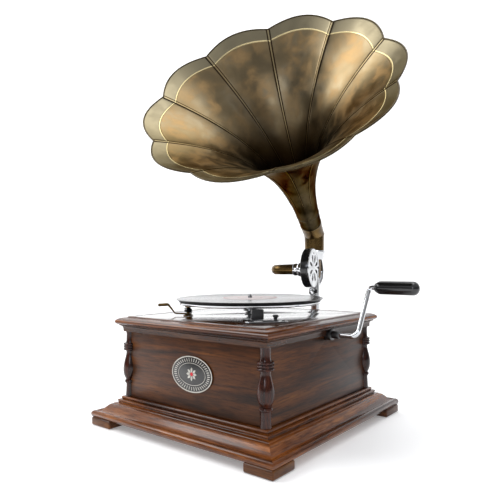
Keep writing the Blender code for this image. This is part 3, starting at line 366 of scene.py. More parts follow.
def makeRecordMaterial(centre, labelRadius, outer):
    # pressed shellac: grooves a fraction of a millimetre apart, drawn coarser so that they show; paper label
    material, tree, shader = newMaterial("pressed shellac", Roughness=0.2, IOR=1.6)
    where = addNode(tree, "ShaderNodeTexCoord")
    centred = addNode(tree, "ShaderNodeMapping", {"Vector": where.outputs["Object"],
                                                  "Location": (-centre.x, -centre.y, 0)})
    axes = addNode(tree, "ShaderNodeSeparateXYZ", {0: centred})
    flat = addNode(tree, "ShaderNodeCombineXYZ", {0: axes.outputs["X"], 1: axes.outputs["Y"]})
    radius = addNode(tree, "ShaderNodeVectorMath", {0: flat}, operation="LENGTH")
    distance = radius.outputs["Value"]
    spacing = 0.0009
    wave = addNode(tree, "ShaderNodeMath", {0: distance, 1: tau / spacing}, operation="MULTIPLY")
    groove = addNode(tree, "ShaderNodeMath", {0: wave}, operation="SINE")
    music = addNode(tree, "ShaderNodeMapRange", {0: distance, 1: labelRadius + 0.004, 2: labelRadius + 0.005})
    margin = addNode(tree, "ShaderNodeMapRange", {0: distance, 1: outer - 0.004, 2: outer - 0.003, 3: 1.0,
                                                  4: 0.0})
    shown = addNode(tree, "ShaderNodeMath", {0: music, 1: margin}, operation="MULTIPLY")
    depth = addNode(tree, "ShaderNodeMath", {0: groove, 1: shown}, operation="MULTIPLY")
    height = addNode(tree, "ShaderNodeBump", {"Height": depth, "Strength": 0.18, "Distance": 0.0002})
    tree.links.new(height.outputs[0], shader.inputs["Normal"])
    isLabel = addNode(tree, "ShaderNodeMath", {0: distance, 1: labelRadius}, operation="LESS_THAN")
    ring = addNode(tree, "ShaderNodeMath", {0: distance, 1: labelRadius - 0.004}, operation="COMPARE")
    ring.inputs[2].default_value = 0.0007
    innerRing = addNode(tree, "ShaderNodeMath", {0: distance, 1: labelRadius * 0.42}, operation="COMPARE")
    innerRing.inputs[2].default_value = 0.0005
    rings = addNode(tree, "ShaderNodeMath", {0: ring, 1: innerRing}, operation="MAXIMUM")
    paper = addNode(tree, "ShaderNodeMix", {0: rings, 6: hexColour("#d9cfce"), 7: hexColour("#a8505a")},
                    data_type="RGBA")
    dust = addNode(tree, "ShaderNodeTexNoise", {"Vector": where.outputs["Object"], "Scale": 30.0,
                                                "Detail": 5.0})
    disc = setRamp(addNode(tree, "ShaderNodeValToRGB", {0: dust}), [(0.35, "#0c0c0d"), (0.7, "#1b1b1c")])
    final = addNode(tree, "ShaderNodeMix", {0: isLabel, 6: disc, 7: paper.outputs[2]}, data_type="RGBA")
    tree.links.new(final.outputs[2], shader.inputs["Base Color"])
    glossy = addNode(tree, "ShaderNodeMapRange", {0: isLabel, 3: 0.17, 4: 0.65})
    tree.links.new(glossy.outputs[0], shader.inputs["Roughness"])
    return material


def plasticMaterial(name, base, rough, bump=0.04, scale=700.0):
    # moulded phenolic or enamel: deep black gloss with a very slight orange peel
    material, tree, shader = newMaterial(name, Roughness=rough, IOR=1.55, Coat_Weight=0.3,
                                         Coat_Roughness=0.06)
    where = addNode(tree, "ShaderNodeTexCoord")
    peel = addNode(tree, "ShaderNodeTexNoise", {"Vector": where.outputs["Object"], "Scale": scale,
                                                "Detail": 2.0})
    cloud = addNode(tree, "ShaderNodeTexNoise", {"Vector": where.outputs["Object"], "Scale": 40.0,
                                                 "Detail": 3.0})
    red, green, blue, alpha = hexColour(base)
    worn = (red * 2.2 + 0.004, green * 2.2 + 0.004, blue * 2.2 + 0.004, alpha)
    tone = addNode(tree, "ShaderNodeMix", {0: cloud, 6: (red, green, blue, alpha), 7: worn}, data_type="RGBA")
    tree.links.new(tone.outputs[2], shader.inputs["Base Color"])
    height = addNode(tree, "ShaderNodeBump", {"Height": peel, "Strength": bump, "Distance": 0.0002})
    tree.links.new(height.outputs[0], shader.inputs["Normal"])
    return material


walnutX = woodMaterial("walnut board, grain across", "#2e190b", "#573012", "#784619", "x", rough=0.36,
                       coat=0.03)
walnutY = woodMaterial("walnut board, grain deep", "#2e190b", "#573012", "#784619", "y", rough=0.36,
                       coat=0.03)
walnutFrame = woodMaterial("walnut moulding", "#3f1e0c", "#7a4318", "#a3622a", "frame", rough=0.24, coat=0.25)
deckWood = woodMaterial("walnut deck", "#2f180c", "#54300f", "#6e4420", "x", rough=0.14, coat=0.9)
turnedWood = woodMaterial("turned hardwood, red stain", "#1a0905", "#38160b", "#552613", "z", rough=0.24,
                          coat=0.25)
footWood = woodMaterial("walnut block", "#3a1d0c", "#633813", "#87541f", "frame", rough=0.3, coat=0.1)
friezeWood = woodMaterial("walnut cove", "#24110a", "#42230f", "#5f3718", "frame", rough=0.26, coat=0.15)
hornBrass = makeHornMaterial()
rolledEdge = metalMaterial("bronzed wire edge", "#4a402c", "#2a2418", 0.34)
pipeBrass = metalMaterial("bronzed brass tube", "#6a5431", "#3b2e1b", 0.26, scale=45.0, amount=0.8)
darkBrass = metalMaterial("aged brass", "#5f4a2c", "#33281a", 0.3)
brightBrass = metalMaterial("turned brass", "#b8924e", "#7d6334", 0.26)
chromePlate = metalMaterial("chrome plate", "#d6d7d9", "#b4b6b8", 0.09, scratch=0.03, amount=0.4)
oiledSteel = metalMaterial("oiled steel", "#8d8e90", "#5d5b58", 0.32)
bluedSteel = metalMaterial("blued spring steel", "#1b1b1e", "#2a2724", 0.38, metallic=0.8)
castIron = metalMaterial("painted cast iron", "#232323", "#1a1918", 0.55, metallic=0.3, scratch=0.5,
                         scale=120.0)
blackGloss = plasticMaterial("black phenolic moulding", "#0b0b0c", 0.2)
blackEnamel = plasticMaterial("black stove enamel", "#080707", 0.28, bump=0.08)
hardRubber = plasticMaterial("hard rubber block", "#101011", 0.5, bump=0.2)
micaSheet = metalMaterial("smoked mica sheet", "#26221d", "#15120f", 0.25, metallic=0.0)
silverInlay = metalMaterial("nickel inlay", "#c2bfb8", "#8b857a", 0.3)
redEnamel = plasticMaterial("red enamel", "#a3121c", 0.2)


def makeFelt():
    # wool felt disc: matt, with short matted fibres
    material, tree, shader = newMaterial("wool felt", Roughness=0.95, Sheen_Weight=0.4)
    where = addNode(tree, "ShaderNodeTexCoord")
    fibre = addNode(tree, "ShaderNodeTexNoise", {"Vector": where.outputs["Object"], "Scale": 1500.0,
                                                 "Detail": 3.0})
    tone = setRamp(addNode(tree, "ShaderNodeValToRGB", {0: fibre}), [(0.3, "#0a0a0b"), (0.7, "#1c1c1e")])
    tree.links.new(tone.outputs[0], shader.inputs["Base Color"])
    height = addNode(tree, "ShaderNodeBump", {"Height": fibre, "Strength": 0.5, "Distance": 0.0004})
    tree.links.new(height.outputs[0], shader.inputs["Normal"])
    return material


felt = makeFelt()
print("finishes made")

# cabinet

cabinet = {"softEdge": 0.0009, "panelEdge": 0.0006}
for name in ("foot_front_left", "foot_front_right", "foot_rear_left", "foot_rear_right"):
    refined(name, footWood, cabinet["softEdge"])
refined("plinth", walnutFrame, 0.0005, angle=28)
refined("base_board", walnutX)
refined("front_panel", walnutX, cabinet["panelEdge"])
refined("rear_panel", walnutX, cabinet["panelEdge"])
refined("left_panel", walnutY, cabinet["panelEdge"])
refined("right_panel", walnutY, cabinet["panelEdge"])
refined("frieze", friezeWood, angle=28)
refined("lid_frame", walnutFrame, angle=28)
refined("motor_board", deckWood, 0.0005)

baluster = {
    "sides": 72,
    "ring": 0.0118,       # radius of the three rings below the plain shaft
    "ringHeight": 0.0042,
    "ringTop": 0.1326,
    "bead": 0.0020,         # half round on each ring
    "shaft": 0.0071,
    "out": 0.1410,          # its axis from the turntable's, each way
    "vase": [(0.0074, 0.1192), (0.0072, 0.1162), (0.0076, 0.1125), (0.0088, 0.1075), (0.0103, 0.1020),
             (0.0114, 0.0962), (0.0119, 0.0905), (0.0117, 0.0850), (0.0108, 0.0800), (0.0093, 0.0762),
             (0.0078, 0.0735), (0.0074, 0.0722)],
    "foot": [(0.0086, 0.0716), (0.0093, 0.0702), (0.0093, 0.0684), (0.0086, 0.0670), (0.0072, 0.0664),
             (0.0070, 0.0640), (0.0073, 0.0560)],
}


def balusterProfile(low, high):
    shape = [(0, high), (baluster["shaft"] + 0.0005, high), (baluster["shaft"], high - 0.004),
             (baluster["shaft"] + 0.0001, baluster["ringTop"] + 0.003),
             (baluster["shaft"] + 0.0009, baluster["ringTop"])]
    for ring in range(3):
        centre = baluster["ringTop"] - baluster["ringHeight"] * (ring + 0.5)
        for step in range(9):
            angle = math.radians(90 - 22.5 * step)
            shape.append((baluster["ring"] - baluster["bead"] * (1 - math.cos(angle)),
                          centre + baluster["ringHeight"] * 0.46 * math.sin(angle)))
    return shape + baluster["vase"] + baluster["foot"] + [(0.0077, low + 0.002), (0.0080, low), (0, low)]


for corner in ("front_left", "front_right", "rear_left", "rear_right"):
    low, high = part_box("baluster_" + corner)
    signX = 1 if low.x > spin.x else -1
    signY = 1 if low.y > spin.y else -1
    axisX, axisY = signX * baluster["out"], signY * baluster["out"]
    column = turned("column_" + corner, balusterProfile(low.z, high.z), place(axisX, axisY, 0), (0, 0, 1),
                    turnedWood, baluster["sides"])
    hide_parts("baluster_" + corner)
    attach(column, "cabinet")

# screws, made once and set out where they are needed


def screwHead(name, radius, material):  # a domed head with a slot
    dome = [(0, radius * 0.42), (radius * 0.35, radius * 0.40), (radius * 0.68, radius * 0.29),
            (radius * 0.9, radius * 0.12),
            (radius, 0), (radius * 0.9, -radius * 0.12), (0, -radius * 0.12)]
    head = turned(name, dome, (0, 0, 0), (0, 0, 1), material, 24)
    work = bmesh.new()
    bmesh.ops.create_cube(work, size=1)
    bmesh.ops.scale(work, vec=(radius * 2.4, radius * 0.26, radius * 0.5), verts=work.verts)
    bmesh.ops.translate(work, vec=(0, 0, radius * 0.42), verts=work.verts)
    blade = makeObject(name + "_slot", meshFrom(work, name + "_slot"))
    cut = head.modifiers.new("slot", "BOOLEAN")
    cut.operation, cut.object = "DIFFERENCE", blade
    head = bake(head, name)
    bpy.data.objects.remove(blade)
    return head


def makePatternTree():  # copies of a piece round an ellipse, or along a line when the depth is zero
    tree = bpy.data.node_groups.new("setOut", "GeometryNodeTree")
    for label, kind, default in (("Piece", "NodeSocketObject", None), ("Count", "NodeSocketInt", 8),
                                 ("Width", "NodeSocketFloat", 0.01), ("Depth", "NodeSocketFloat", 0.01),
                                 ("Turn", "NodeSocketFloat", 0.0), ("Finish", "NodeSocketMaterial", None)):
        socket = tree.interface.new_socket(label, in_out="INPUT", socket_type=kind)
        if default is not None:
            socket.default_value = default
    tree.interface.new_socket("Geometry", in_out="OUTPUT", socket_type="NodeSocketGeometry")
    given = addNode(tree, "NodeGroupInput")
    ring = addNode(tree, "GeometryNodeMeshCircle", {"Vertices": given.outputs["Count"], "Radius": 1.0})
    size = addNode(tree, "ShaderNodeCombineXYZ", {0: given.outputs["Width"], 1: given.outputs["Depth"],
                                                  2: 1.0})
    turn = addNode(tree, "ShaderNodeCombineXYZ", {2: given.outputs["Turn"]})
    turnedRing = addNode(tree, "GeometryNodeTransform", {"Geometry": ring, "Rotation": turn})
    shaped = addNode(tree, "GeometryNodeTransform", {"Geometry": turnedRing, "Scale": size})
    spot = addNode(tree, "GeometryNodeInputPosition")
    heading = addNode(tree, "FunctionNodeAlignRotationToVector", {"Vector": spot}, axis="X", pivot_axis="Z")
    piece = addNode(tree, "GeometryNodeObjectInfo", {"Object": given.outputs["Piece"]})
    copies = addNode(tree, "GeometryNodeInstanceOnPoints", {
        "Points": shaped, "Instance": piece.outputs["Geometry"], "Rotation": heading})
    real = addNode(tree, "GeometryNodeRealizeInstances", {"Geometry": copies})
    painted = addNode(tree, "GeometryNodeSetMaterial",
                      {"Geometry": real, "Material": given.outputs["Finish"]})
    addNode(tree, "NodeGroupOutput", {"Geometry": painted})
    return tree


patternTree = makePatternTree()


# evaluates a geometry tree with its inputs set, as a plain mesh
def runTree(name, tree, values, matrix=None):
    holder = makeObject(name, bpy.data.meshes.new(name))
    step = holder.modifiers.new("nodes", "NODES")
    step.node_group = tree
    for item in tree.interface.items_tree:
        if item.item_type == "SOCKET" and item.in_out == "INPUT" and item.name in values:
            step[item.identifier] = values[item.name]
    made = bake(holder, name)
    if matrix:
        made.data.transform(matrix)
    smoothEdges(made.data, 40)
    return made


def setOut(name, piece, count, width, depth, matrix, material, turn=0.0):
    made = runTree(name, patternTree, {"Piece": piece, "Count": count, "Width": width, "Depth": depth,
                                       "Turn": turn, "Finish": material}, matrix)
    return made


def facing(origin, direction):  # a matrix that turns +Z to a direction at a point
    return Matrix.Translation(origin) @ Vector(direction).to_track_quat("Z", "Y").to_matrix().to_4x4()


# horn

horn = {
    "petals": 10,
    "seamRadius": 0.1959,
    "neckRadius": 0.0200,    # at the mitre
    "neckTaper": 0.0297,
    "flareLength": 0.3134,
    "flarePower": 2.889,
    "petalRise": 0.026,
    "petalReach": 0.0056,    # how far the middle of a petal's edge stands ahead of its seams
    "petalDepth": 0.055,
    "firstSeam": math.radians(30.4),
    "wall": 0.0016,
    "skin": 0.0008,          # half the wall, so that its outside is at the seam radius
    "ribWidth": 0.0052,
    "ribHeight": 0.0008,
    "socket": 0.0350,        # the elbow's reach along the neck
    "tilt": math.radians(37.47),
    "swing": math.radians(17.65),
    "mouth": (0.0835, -0.0539, 0.5314),
    "pivotBehind": 0.2086,
    "bands": ((0.282, "horn_band_upper"), (0.3112, "horn_band_lower")),
}
hornOut = Vector((math.sin(horn["swing"]) * math.cos(horn["tilt"]),
                  -math.cos(horn["swing"]) * math.cos(horn["tilt"]),
                  math.sin(horn["tilt"])))
hornAcross = Vector((0, 0, 1)).cross(hornOut).normalized()
hornUp = hornOut.cross(hornAcross)
hornMouth = place(*horn["mouth"])
pivot = place(0, horn["pivotBehind"], 0)
hornLength = (hornMouth.y - pivot.y) / hornOut.y
hornMatrix = Matrix((
    (hornAcross.x, hornUp.x, hornOut.x, hornMouth.x), (hornAcross.y, hornUp.y, hornOut.y, hornMouth.y),
    (hornAcross.z, hornUp.z, hornOut.z, hornMouth.z), (0, 0, 0, 1)))


# a closed wall: rows run up the inside from the neck, over the mouth and back down outside
def makeHornTree():
    tree = bpy.data.node_groups.new("petalledHorn", "GeometryNodeTree")
    for label, default in (("Petals", 10.0), ("Seam Radius", 0.2), ("Neck Radius", 0.02),
                           ("Flare Length", 0.3), ("Flare Power", 2.6), ("Neck Taper", 0.03),
                           ("Petal Rise", 0.03), ("First Seam", 0.0), ("Petal Reach", 0.005),
                           ("Petal Depth", 0.05), ("Length", 0.3), ("Neck End", 0.03), ("Wall", 0.001),
                           ("Rib Width", 0.005), ("Rib Height", 0.001), ("Edge Radius", 0.0013)):
        tree.interface.new_socket(label, in_out="INPUT",
                                  socket_type="NodeSocketFloat").default_value = default
    tree.interface.new_socket("Sheet", in_out="INPUT", socket_type="NodeSocketMaterial")
    tree.interface.new_socket("Edge", in_out="INPUT", socket_type="NodeSocketMaterial")
    tree.interface.new_socket("Geometry", in_out="OUTPUT", socket_type="NodeSocketGeometry")
    given = addNode(tree, "NodeGroupInput").outputs

    grid = addNode(tree, "GeometryNodeMeshGrid", {
        "Size X": 1.0, "Size Y": 1.0, "Vertices X": 181, "Vertices Y": 261})
    spot = addNode(tree, "ShaderNodeSeparateXYZ", {0: addNode(tree, "GeometryNodeInputPosition")}).outputs
    known = {socket.name: socket for socket in given if socket.name}
    known.update(x=spot["X"], y=spot["Y"])
    addSteps(tree, known, [
        ("side", "SIGN", "x"),
        ("fromMouth", "ABSOLUTE", "x"),
        ("share", "MULTIPLY", "fromMouth", 2.0),  # 0 at the mouth, 1 at the neck
        ("rowSpacing", "POWER", "share", 1.5),
        ("sheetLength", "SUBTRACT", "Length", "Neck End"),
        ("back", "MULTIPLY", "sheetLength", "rowSpacing"),  # distance behind the seams' ends at the mouth
        ("aroundShare", "ADD", "y", 0.5),
        ("around", "MULTIPLY", "aroundShare", "Petals"),
        ("phase", "FRACT", "around"),
        ("index", "FLOOR", "around"),
        ("phaseTurn", "MULTIPLY", "phase", tau),
        ("wave", "SINE", "phaseTurn"),
        ("wiggle", "MULTIPLY", "wave", 0.9 / tau),
        ("warped", "SUBTRACT", "phase", "wiggle"),  # closer columns beside each seam
        ("petalAngle", "DIVIDE", tau, "Petals"),
        ("petalsRound", "ADD", "index", "warped"),
        ("turnRound", "MULTIPLY", "petalsRound", "petalAngle"),
        ("angle", "ADD", "First Seam", "turnRound"),
        ("halfTurn", "MULTIPLY", "warped", math.pi),
        ("crest", "SINE", "halfTurn"),  # 0 at the seams, 1 in the middle of a petal
        ("edgeShare", "DIVIDE", "back", "Petal Depth"),
        ("edgeLeft", "SUBTRACT", 1.0, "edgeShare"),
        ("near", "MAXIMUM", "edgeLeft", 0.0),
        ("edgeCrest", "MULTIPLY", "crest", "near"),
        ("ahead", "MULTIPLY", "Petal Reach", "edgeCrest"),
        ("station", "SUBTRACT", "back", "ahead"),
        ("flareShare", "DIVIDE", "station", "Flare Length"),
        ("flareLeft", "SUBTRACT", 1.0, "flareShare"),
        ("left", "MAXIMUM", "flareLeft", 0.0),
        ("fromNeck", "SUBTRACT", "Length", "station"),
        ("widening", "MULTIPLY", "Neck Taper", "fromNeck"),
        ("cone", "ADD", "Neck Radius", "widening"),
        ("radiusRange", "SUBTRACT", "Seam Radius", "Neck Radius"),
        ("fullWidening", "MULTIPLY", "Neck Taper", "Length"),
        ("opening", "SUBTRACT", "radiusRange", "fullWidening"),
        ("flareRise", "POWER", "left", "Flare Power"),
        ("flare", "MULTIPLY", "opening", "flareRise"),
        ("base", "ADD", "cone", "flare"),
        ("petalLength", "MULTIPLY", "Flare Length", 0.75),
        ("petalShare", "DIVIDE", "back", "petalLength"),
        ("petalLeft", "SUBTRACT", 1.0, "petalShare"),
        ("petalStrength", "MAXIMUM", "petalLeft", 0.0),
        ("fade", "POWER", "petalStrength", 1.5),
        ("rise", "MULTIPLY", "Petal Rise", "fade"),
        ("bulge", "MULTIPLY", "crest", "rise"),
        ("swell", "ADD", 1.0, "bulge"),
        ("radius", "MULTIPLY", "base", "swell"),
        ("toNext", "SUBTRACT", 1.0, "warped"),
        ("toSeam", "MINIMUM", "warped", "toNext"),
        ("petalArc", "MULTIPLY", "radius", "petalAngle"),
        ("reach", "MULTIPLY", "toSeam", "petalArc"),  # distance to the nearest seam
        ("ribHalf", "MULTIPLY", "Rib Width", 0.5),
        ("sizeShare", "DIVIDE", "radius", "Seam Radius"),
        ("ribScale", "POWER", "sizeShare", 0.5),
        ("ribHere", "MULTIPLY", "ribHalf", "ribScale"),
        ("seamOffset", "DIVIDE", "reach", "ribHere"),
        ("rib", "SMOOTHSTEP", "seamOffset", 0.8, 1.3, 1.0, 0.0),
        ("ribEnd", "LINEAR", "back", 0.240, 0.250, 1.0, 0.0),
        ("ribs", "MULTIPLY", "rib", "ribEnd"),
        ("lift", "MULTIPLY", "Rib Height", "ribs"),
        ("halfWall", "MULTIPLY", "Wall", 0.5),
        ("thickness", "ADD", "halfWall", "lift"),
        ("isOpen", "LESS_THAN", "share", 0.996),  # the two faces meet at the neck's end
        ("wall", "MULTIPLY", "isOpen", "thickness"),
        ("inOrOut", "MULTIPLY", "side", "wall"),
        ("full", "ADD", "radius", "inOrOut"),
        ("cosine", "COSINE", "angle"),
        ("sine", "SINE", "angle"),
        ("across", "MULTIPLY", "full", "cosine"),
        ("up", "MULTIPLY", "full", "sine"),
        ("out", "MULTIPLY", "station", -1.0),
        ("pastRibs", "SUBTRACT", 1.0, "ribEnd"),
        ("farOff", "MULTIPLY", "pastRibs", 10.0),
        ("seamShown", "ADD", "seamOffset", "farOff"),
        ("shallow", "LINEAR", "back", 0.05, 0.13, 1.0, 0.35),
        ("bloom", "MULTIPLY", "crest", "shallow"),
        ("outside", "GREATER_THAN", "side", 0.0),
        ("isRim", "LESS_THAN", "share", 0.0001)])
    point = addNode(tree, "ShaderNodeCombineXYZ", {0: known["across"], 1: known["up"], 2: known["out"]})
    geometry = grid.outputs["Mesh"]
    for label, source in (("seamOffset", "seamShown"), ("mouthDepth", "back"), ("petalBloom", "bloom"),
                          ("outside", "outside"), ("isRim", "isRim")):
        geometry = addNode(tree, "GeometryNodeStoreNamedAttribute", {
            "Geometry": geometry, "Name": label, "Value": known[source]}, data_type="FLOAT",
            domain="POINT").outputs[0]
    shaped = addNode(tree, "GeometryNodeSetPosition", {"Geometry": geometry, "Position": point})
    welded = addNode(tree, "GeometryNodeMergeByDistance", {"Geometry": shaped, "Distance": 0.00001})
    rimRead = addNode(tree, "GeometryNodeInputNamedAttribute", {"Name": "isRim"}, data_type="FLOAT")
    onRim = addNode(tree, "FunctionNodeCompare", {0: rimRead.outputs[0], 1: 0.99}, operation="GREATER_THAN",
                    data_type="FLOAT")
    rim = addNode(tree, "GeometryNodeMeshToCurve", {"Mesh": welded, "Selection": onRim})
    wire = addNode(tree, "GeometryNodeCurvePrimitiveCircle",
                   {"Resolution": 10, "Radius": given["Edge Radius"]})
    bead = addNode(tree, "GeometryNodeCurveToMesh", {"Curve": rim, "Profile Curve": wire.outputs["Curve"]})
    sheet = addNode(tree, "GeometryNodeSetMaterial", {"Geometry": welded, "Material": given["Sheet"]})
    edge = addNode(tree, "GeometryNodeSetMaterial", {"Geometry": bead, "Material": given["Edge"]})
    both = addNode(tree, "GeometryNodeJoinGeometry")
    tree.links.new(sheet.outputs[0], both.inputs[0])
    tree.links.new(edge.outputs[0], both.inputs[0])
    real = addNode(tree, "GeometryNodeRealizeInstances", {"Geometry": both})
    addNode(tree, "NodeGroupOutput", {"Geometry": real})
    return tree


def makeHorn():
    made = runTree("horn_sheet", makeHornTree(), {
        "Petals": float(horn["petals"]), "Seam Radius": horn["seamRadius"] - horn["skin"],
        "Neck Radius": horn["neckRadius"] - horn["skin"], "Neck Taper": horn["neckTaper"],
        "Flare Length": horn["flareLength"], "Flare Power": horn["flarePower"],
        "Petal Rise": horn["petalRise"], "Petal Reach": horn["petalReach"],
        "Petal Depth": horn["petalDepth"], "First Seam": horn["firstSeam"], "Length": hornLength,
        "Neck End": horn["socket"], "Wall": horn["wall"], "Rib Width": horn["ribWidth"],
        "Rib Height": horn["ribHeight"], "Sheet": hornBrass, "Edge": rolledEdge}, hornMatrix)
    work = bmesh.new()
    work.from_mesh(made.data)
    bmesh.ops.recalc_face_normals(work, faces=work.faces)
    work.to_mesh(made.data)
    work.free()
    smoothEdges(made.data, 50)
    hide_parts("horn")
    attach(made, "horn_unit")
    return made


makeHorn()


def neckRadius(back):  # the horn's radius a distance behind its mouth
    opening = horn["seamRadius"] - horn["neckRadius"] - horn["neckTaper"] * hornLength
    return horn["neckRadius"] + horn["neckTaper"] * (hornLength - back) + opening * max(
        0.0, 1 - back / horn["flareLength"]) ** horn["flarePower"]


for offset, name in horn["bands"]:  # soldered joints round the neck
    radius = neckRadius(offset)
    band = turned(name, [(radius - 0.0006, 0.0014), (radius + 0.0002, 0.0012), (radius + 0.0005, 0.0006),
                         (radius + 0.0005, -0.0006), (radius + 0.0002, -0.0012), (radius - 0.0006, -0.0014)],
                  hornMouth - hornOut * offset, hornOut, rolledEdge, 64, closed=True)
    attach(band, "horn_unit")
print("horn made")

elbow = {"foot": 0.0193, "wall": 0.0018, "sides": 72, "bead": 0.0007}


def makeElbow():  # a mitred sleeve, upright then along the neck, its outside and inside in one wall
    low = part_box("horn_elbow")[0]
    up = Vector((0, 0, 1))
    corner = hornMouth - hornOut * hornLength
    foot = Vector((corner.x, corner.y, low.z))
    end = corner + hornOut * horn["socket"]
    mitre = (up + hornOut).normalized()
    stations = []
    for share in (0, 0.5, 0.93, 1.0):
        stations.append((foot.lerp(corner, share), up, up.lerp(mitre, share ** 6).normalized(),
                         elbow["foot"] + (horn["neckRadius"] - elbow["foot"]) * share))
    stations[-1] = (corner, up, mitre, horn["neckRadius"] + elbow["bead"])
    for share in (0.06, 0.5, 0.985, 1.0):
        radius = neckRadius(hornLength - horn["socket"] * share) - (0.0003 if share == 1.0 else 0)
        stations.append((corner.lerp(end, share), hornOut,
                         mitre.lerp(hornOut, min(1.0, share * 2)).normalized(), radius))
    side = up.cross(hornOut).normalized()
    work = bmesh.new()
    rows = []
    for inset, order in ((0.0, stations), (elbow["wall"], stations[::-1])):
        for centre, axis, cut, radius in order:
            other = axis.cross(side).normalized()
            ring = []
            for i in range(elbow["sides"]):
                angle = tau * i / elbow["sides"]
                spoke = (side * math.cos(angle) + other * math.sin(angle)) * (radius - inset)
                ring.append(work.verts.new(centre + spoke - axis * (spoke.dot(cut) / axis.dot(cut))))
            rows.append(ring)
    for first, second in zip(rows, rows[1:] + rows[:1]):
        for i in range(elbow["sides"]):
            j = (i + 1) % elbow["sides"]
            work.faces.new((first[i], first[j], second[j], second[i]))
    bmesh.ops.recalc_face_normals(work, faces=work.faces)
    obj = makeObject("elbow_sleeve", meshFrom(work, "elbow_sleeve"), pipeBrass)
    smoothEdges(obj.data, 25)
    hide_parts("horn_elbow")
    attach(obj, "horn_unit")


makeElbow()

# turntable, felt, record

platterLow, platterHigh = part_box("turntable")
platter = {"sides": 128, "rim": 0.1215, "skirt": 0.1190}
top = platterHigh.z
platterPiece = turned("platter_finish", [
    (0.0041, top), (platter["rim"] - 0.0020, top), (platter["rim"] - 0.0008, top - 0.0004),
    (platter["rim"], top - 0.0014), (platter["rim"], top - 0.0036), (platter["rim"] - 0.0006, top - 0.0046),
    (platter["rim"] - 0.0016, top - 0.0050),
    (platter["skirt"], top - 0.0050), (platter["skirt"] - 0.0008, top - 0.0026), (0.0150, top - 0.0022),
    (0.0122, top - 0.0050), (0.0120, platterLow.z + 0.0006), (0.0114, platterLow.z), (0.0041, platterLow.z)],
    place(0, 0, 0), (0, 0, 1), chromePlate, platter["sides"], closed=True)
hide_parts("turntable")
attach(platterPiece, "turntable_unit")
refined("turntable_felt", felt)

disc = {"radius": 0.1250, "label": 0.0480, "hole": 0.0038, "sides": 160}
recordMaterial = makeRecordMaterial(spin, disc["label"], disc["radius"])
high, low = recordHigh.z, recordLow.z
recordPiece = turned("record_disc", [
    (disc["hole"], high - 0.0001), (disc["label"] - 0.0003, high - 0.0001), (disc["label"], high - 0.0003),
    (disc["label"] + 0.004, high - 0.0003), (disc["label"] + 0.005, high - 0.0002),
    (disc["radius"] - 0.0045, high - 0.0002),
    (disc["radius"] - 0.0030, high), (disc["radius"] - 0.0008, high - 0.0001),
    (disc["radius"], high - 0.0008),
    (disc["radius"], low + 0.0008), (disc["radius"] - 0.0008, low), (disc["hole"], low)],
    place(0, 0, 0), (0, 0, 1), recordMaterial, disc["sides"], closed=True)
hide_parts("record")
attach(recordPiece, "turntable_unit")
refined("turntable_spindle", oiledSteel)
print("turntable made")

# crank

crank = {"rod": 0.0038, "bend": 0.0120, "knee": 0.0070, "grip": 0.0103, "gripEnd": 0.0090, "bore": 0.0043,
         "side": 0.0100, "height": 0.1520, "kneeOut": 0.1975, "turnOut": 0.2045, "tipIn": 0.0065,
         "ferruleOut": 0.1475}
gripLow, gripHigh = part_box("crank_grip")
gripMiddle = middle("crank_grip")
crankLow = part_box("crank")[0]
foot = Vector((crankLow.x, spin.y + crank["side"], crank["height"]))
knee = place(crank["kneeOut"], crank["side"], crank["height"])
turnPoint = Vector((spin.x + crank["turnOut"], gripMiddle.y, gripMiddle.z))
tip = Vector((gripHigh.x - crank["tipIn"], gripMiddle.y, gripMiddle.z))
first = rounded([foot, knee, turnPoint], crank["bend"], 10)[:-1]
second = rounded([knee, turnPoint, tip], crank["knee"], 10)[1:]
path = first + second
crankPiece = rod("crank_rod", path, [crank["rod"]] * len(path), chromePlate, 24)
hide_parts("crank")
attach(crankPiece, "crank_unit")
ferrule = turned("crank_ferrule", [
    (0.0036, 0.0), (0.0068, 0.0), (0.0072, 0.0008), (0.0072, 0.0070), (0.0066, 0.0080), (0.0058, 0.0084),
    (0.0058, 0.0190), (0.0052, 0.0200), (0.0036, 0.0202)],
    place(crank["ferruleOut"], crank["side"], crank["height"]), (1, 0, 0), blackEnamel, 40, closed=True)
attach(ferrule, "crank_unit")
gripLength = gripHigh.x - gripLow.x
gripShape = [(crank["bore"], 0), (0.0062, 0), (0.0068, 0.0006), (0.0092, 0.0050), (0.0101, 0.0075),
             (crank["grip"], 0.0110)]
for step in range(13):  # a round end
    angle = math.radians(90 * step / 12)
    gripShape.append((crank["grip"] * math.cos(angle) if step < 12 else 0.0,
                      gripLength - crank["gripEnd"] * (1 - math.sin(angle))))
gripShape += [(0.0, gripLength - 0.006), (crank["bore"], gripLength - 0.006)]
gripPiece = turned("crank_handle", gripShape, (gripLow.x, gripMiddle.y, gripMiddle.z), (1, 0, 0), blackGloss,
                   56)
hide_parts("crank_grip")
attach(gripPiece, "grip")
refined("crank_bush", blackEnamel, 0.0004)
print("crank made")

# deck fittings

refined("brake_plate", chromePlate, 0.0004)
refined("brake_lever", blackEnamel, 0.0002)
refined("brake_block", hardRubber, 0.0002)
refined("lever_post", darkBrass)
refined("speed_lever", darkBrass, angle=60)
refined("lever_spring", bluedSteel, angle=70)
plate = {"turn": math.radians(46.5), "screwOut": 0.0265, "screw": 0.0036}
plateMiddle, plateTop = middle("brake_plate"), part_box("brake_plate")[1].z
plateScrews = []
for side in (-1, 1):
    screw = screwHead(f"plate_screw_{2 + side}", plate["screw"], chromePlate)
    screw.data.transform(Matrix.Translation((plateMiddle.x, plateMiddle.y, plateTop))
                         @ Matrix.Rotation(plate["turn"], 4, "Z")
                         @ Matrix.Translation((side * plate["screwOut"], 0, 0)))
    plateScrews.append(screw)
joined("brake_plate_screws", plateScrews, "cabinet")

# badge: an oval with generic ornament

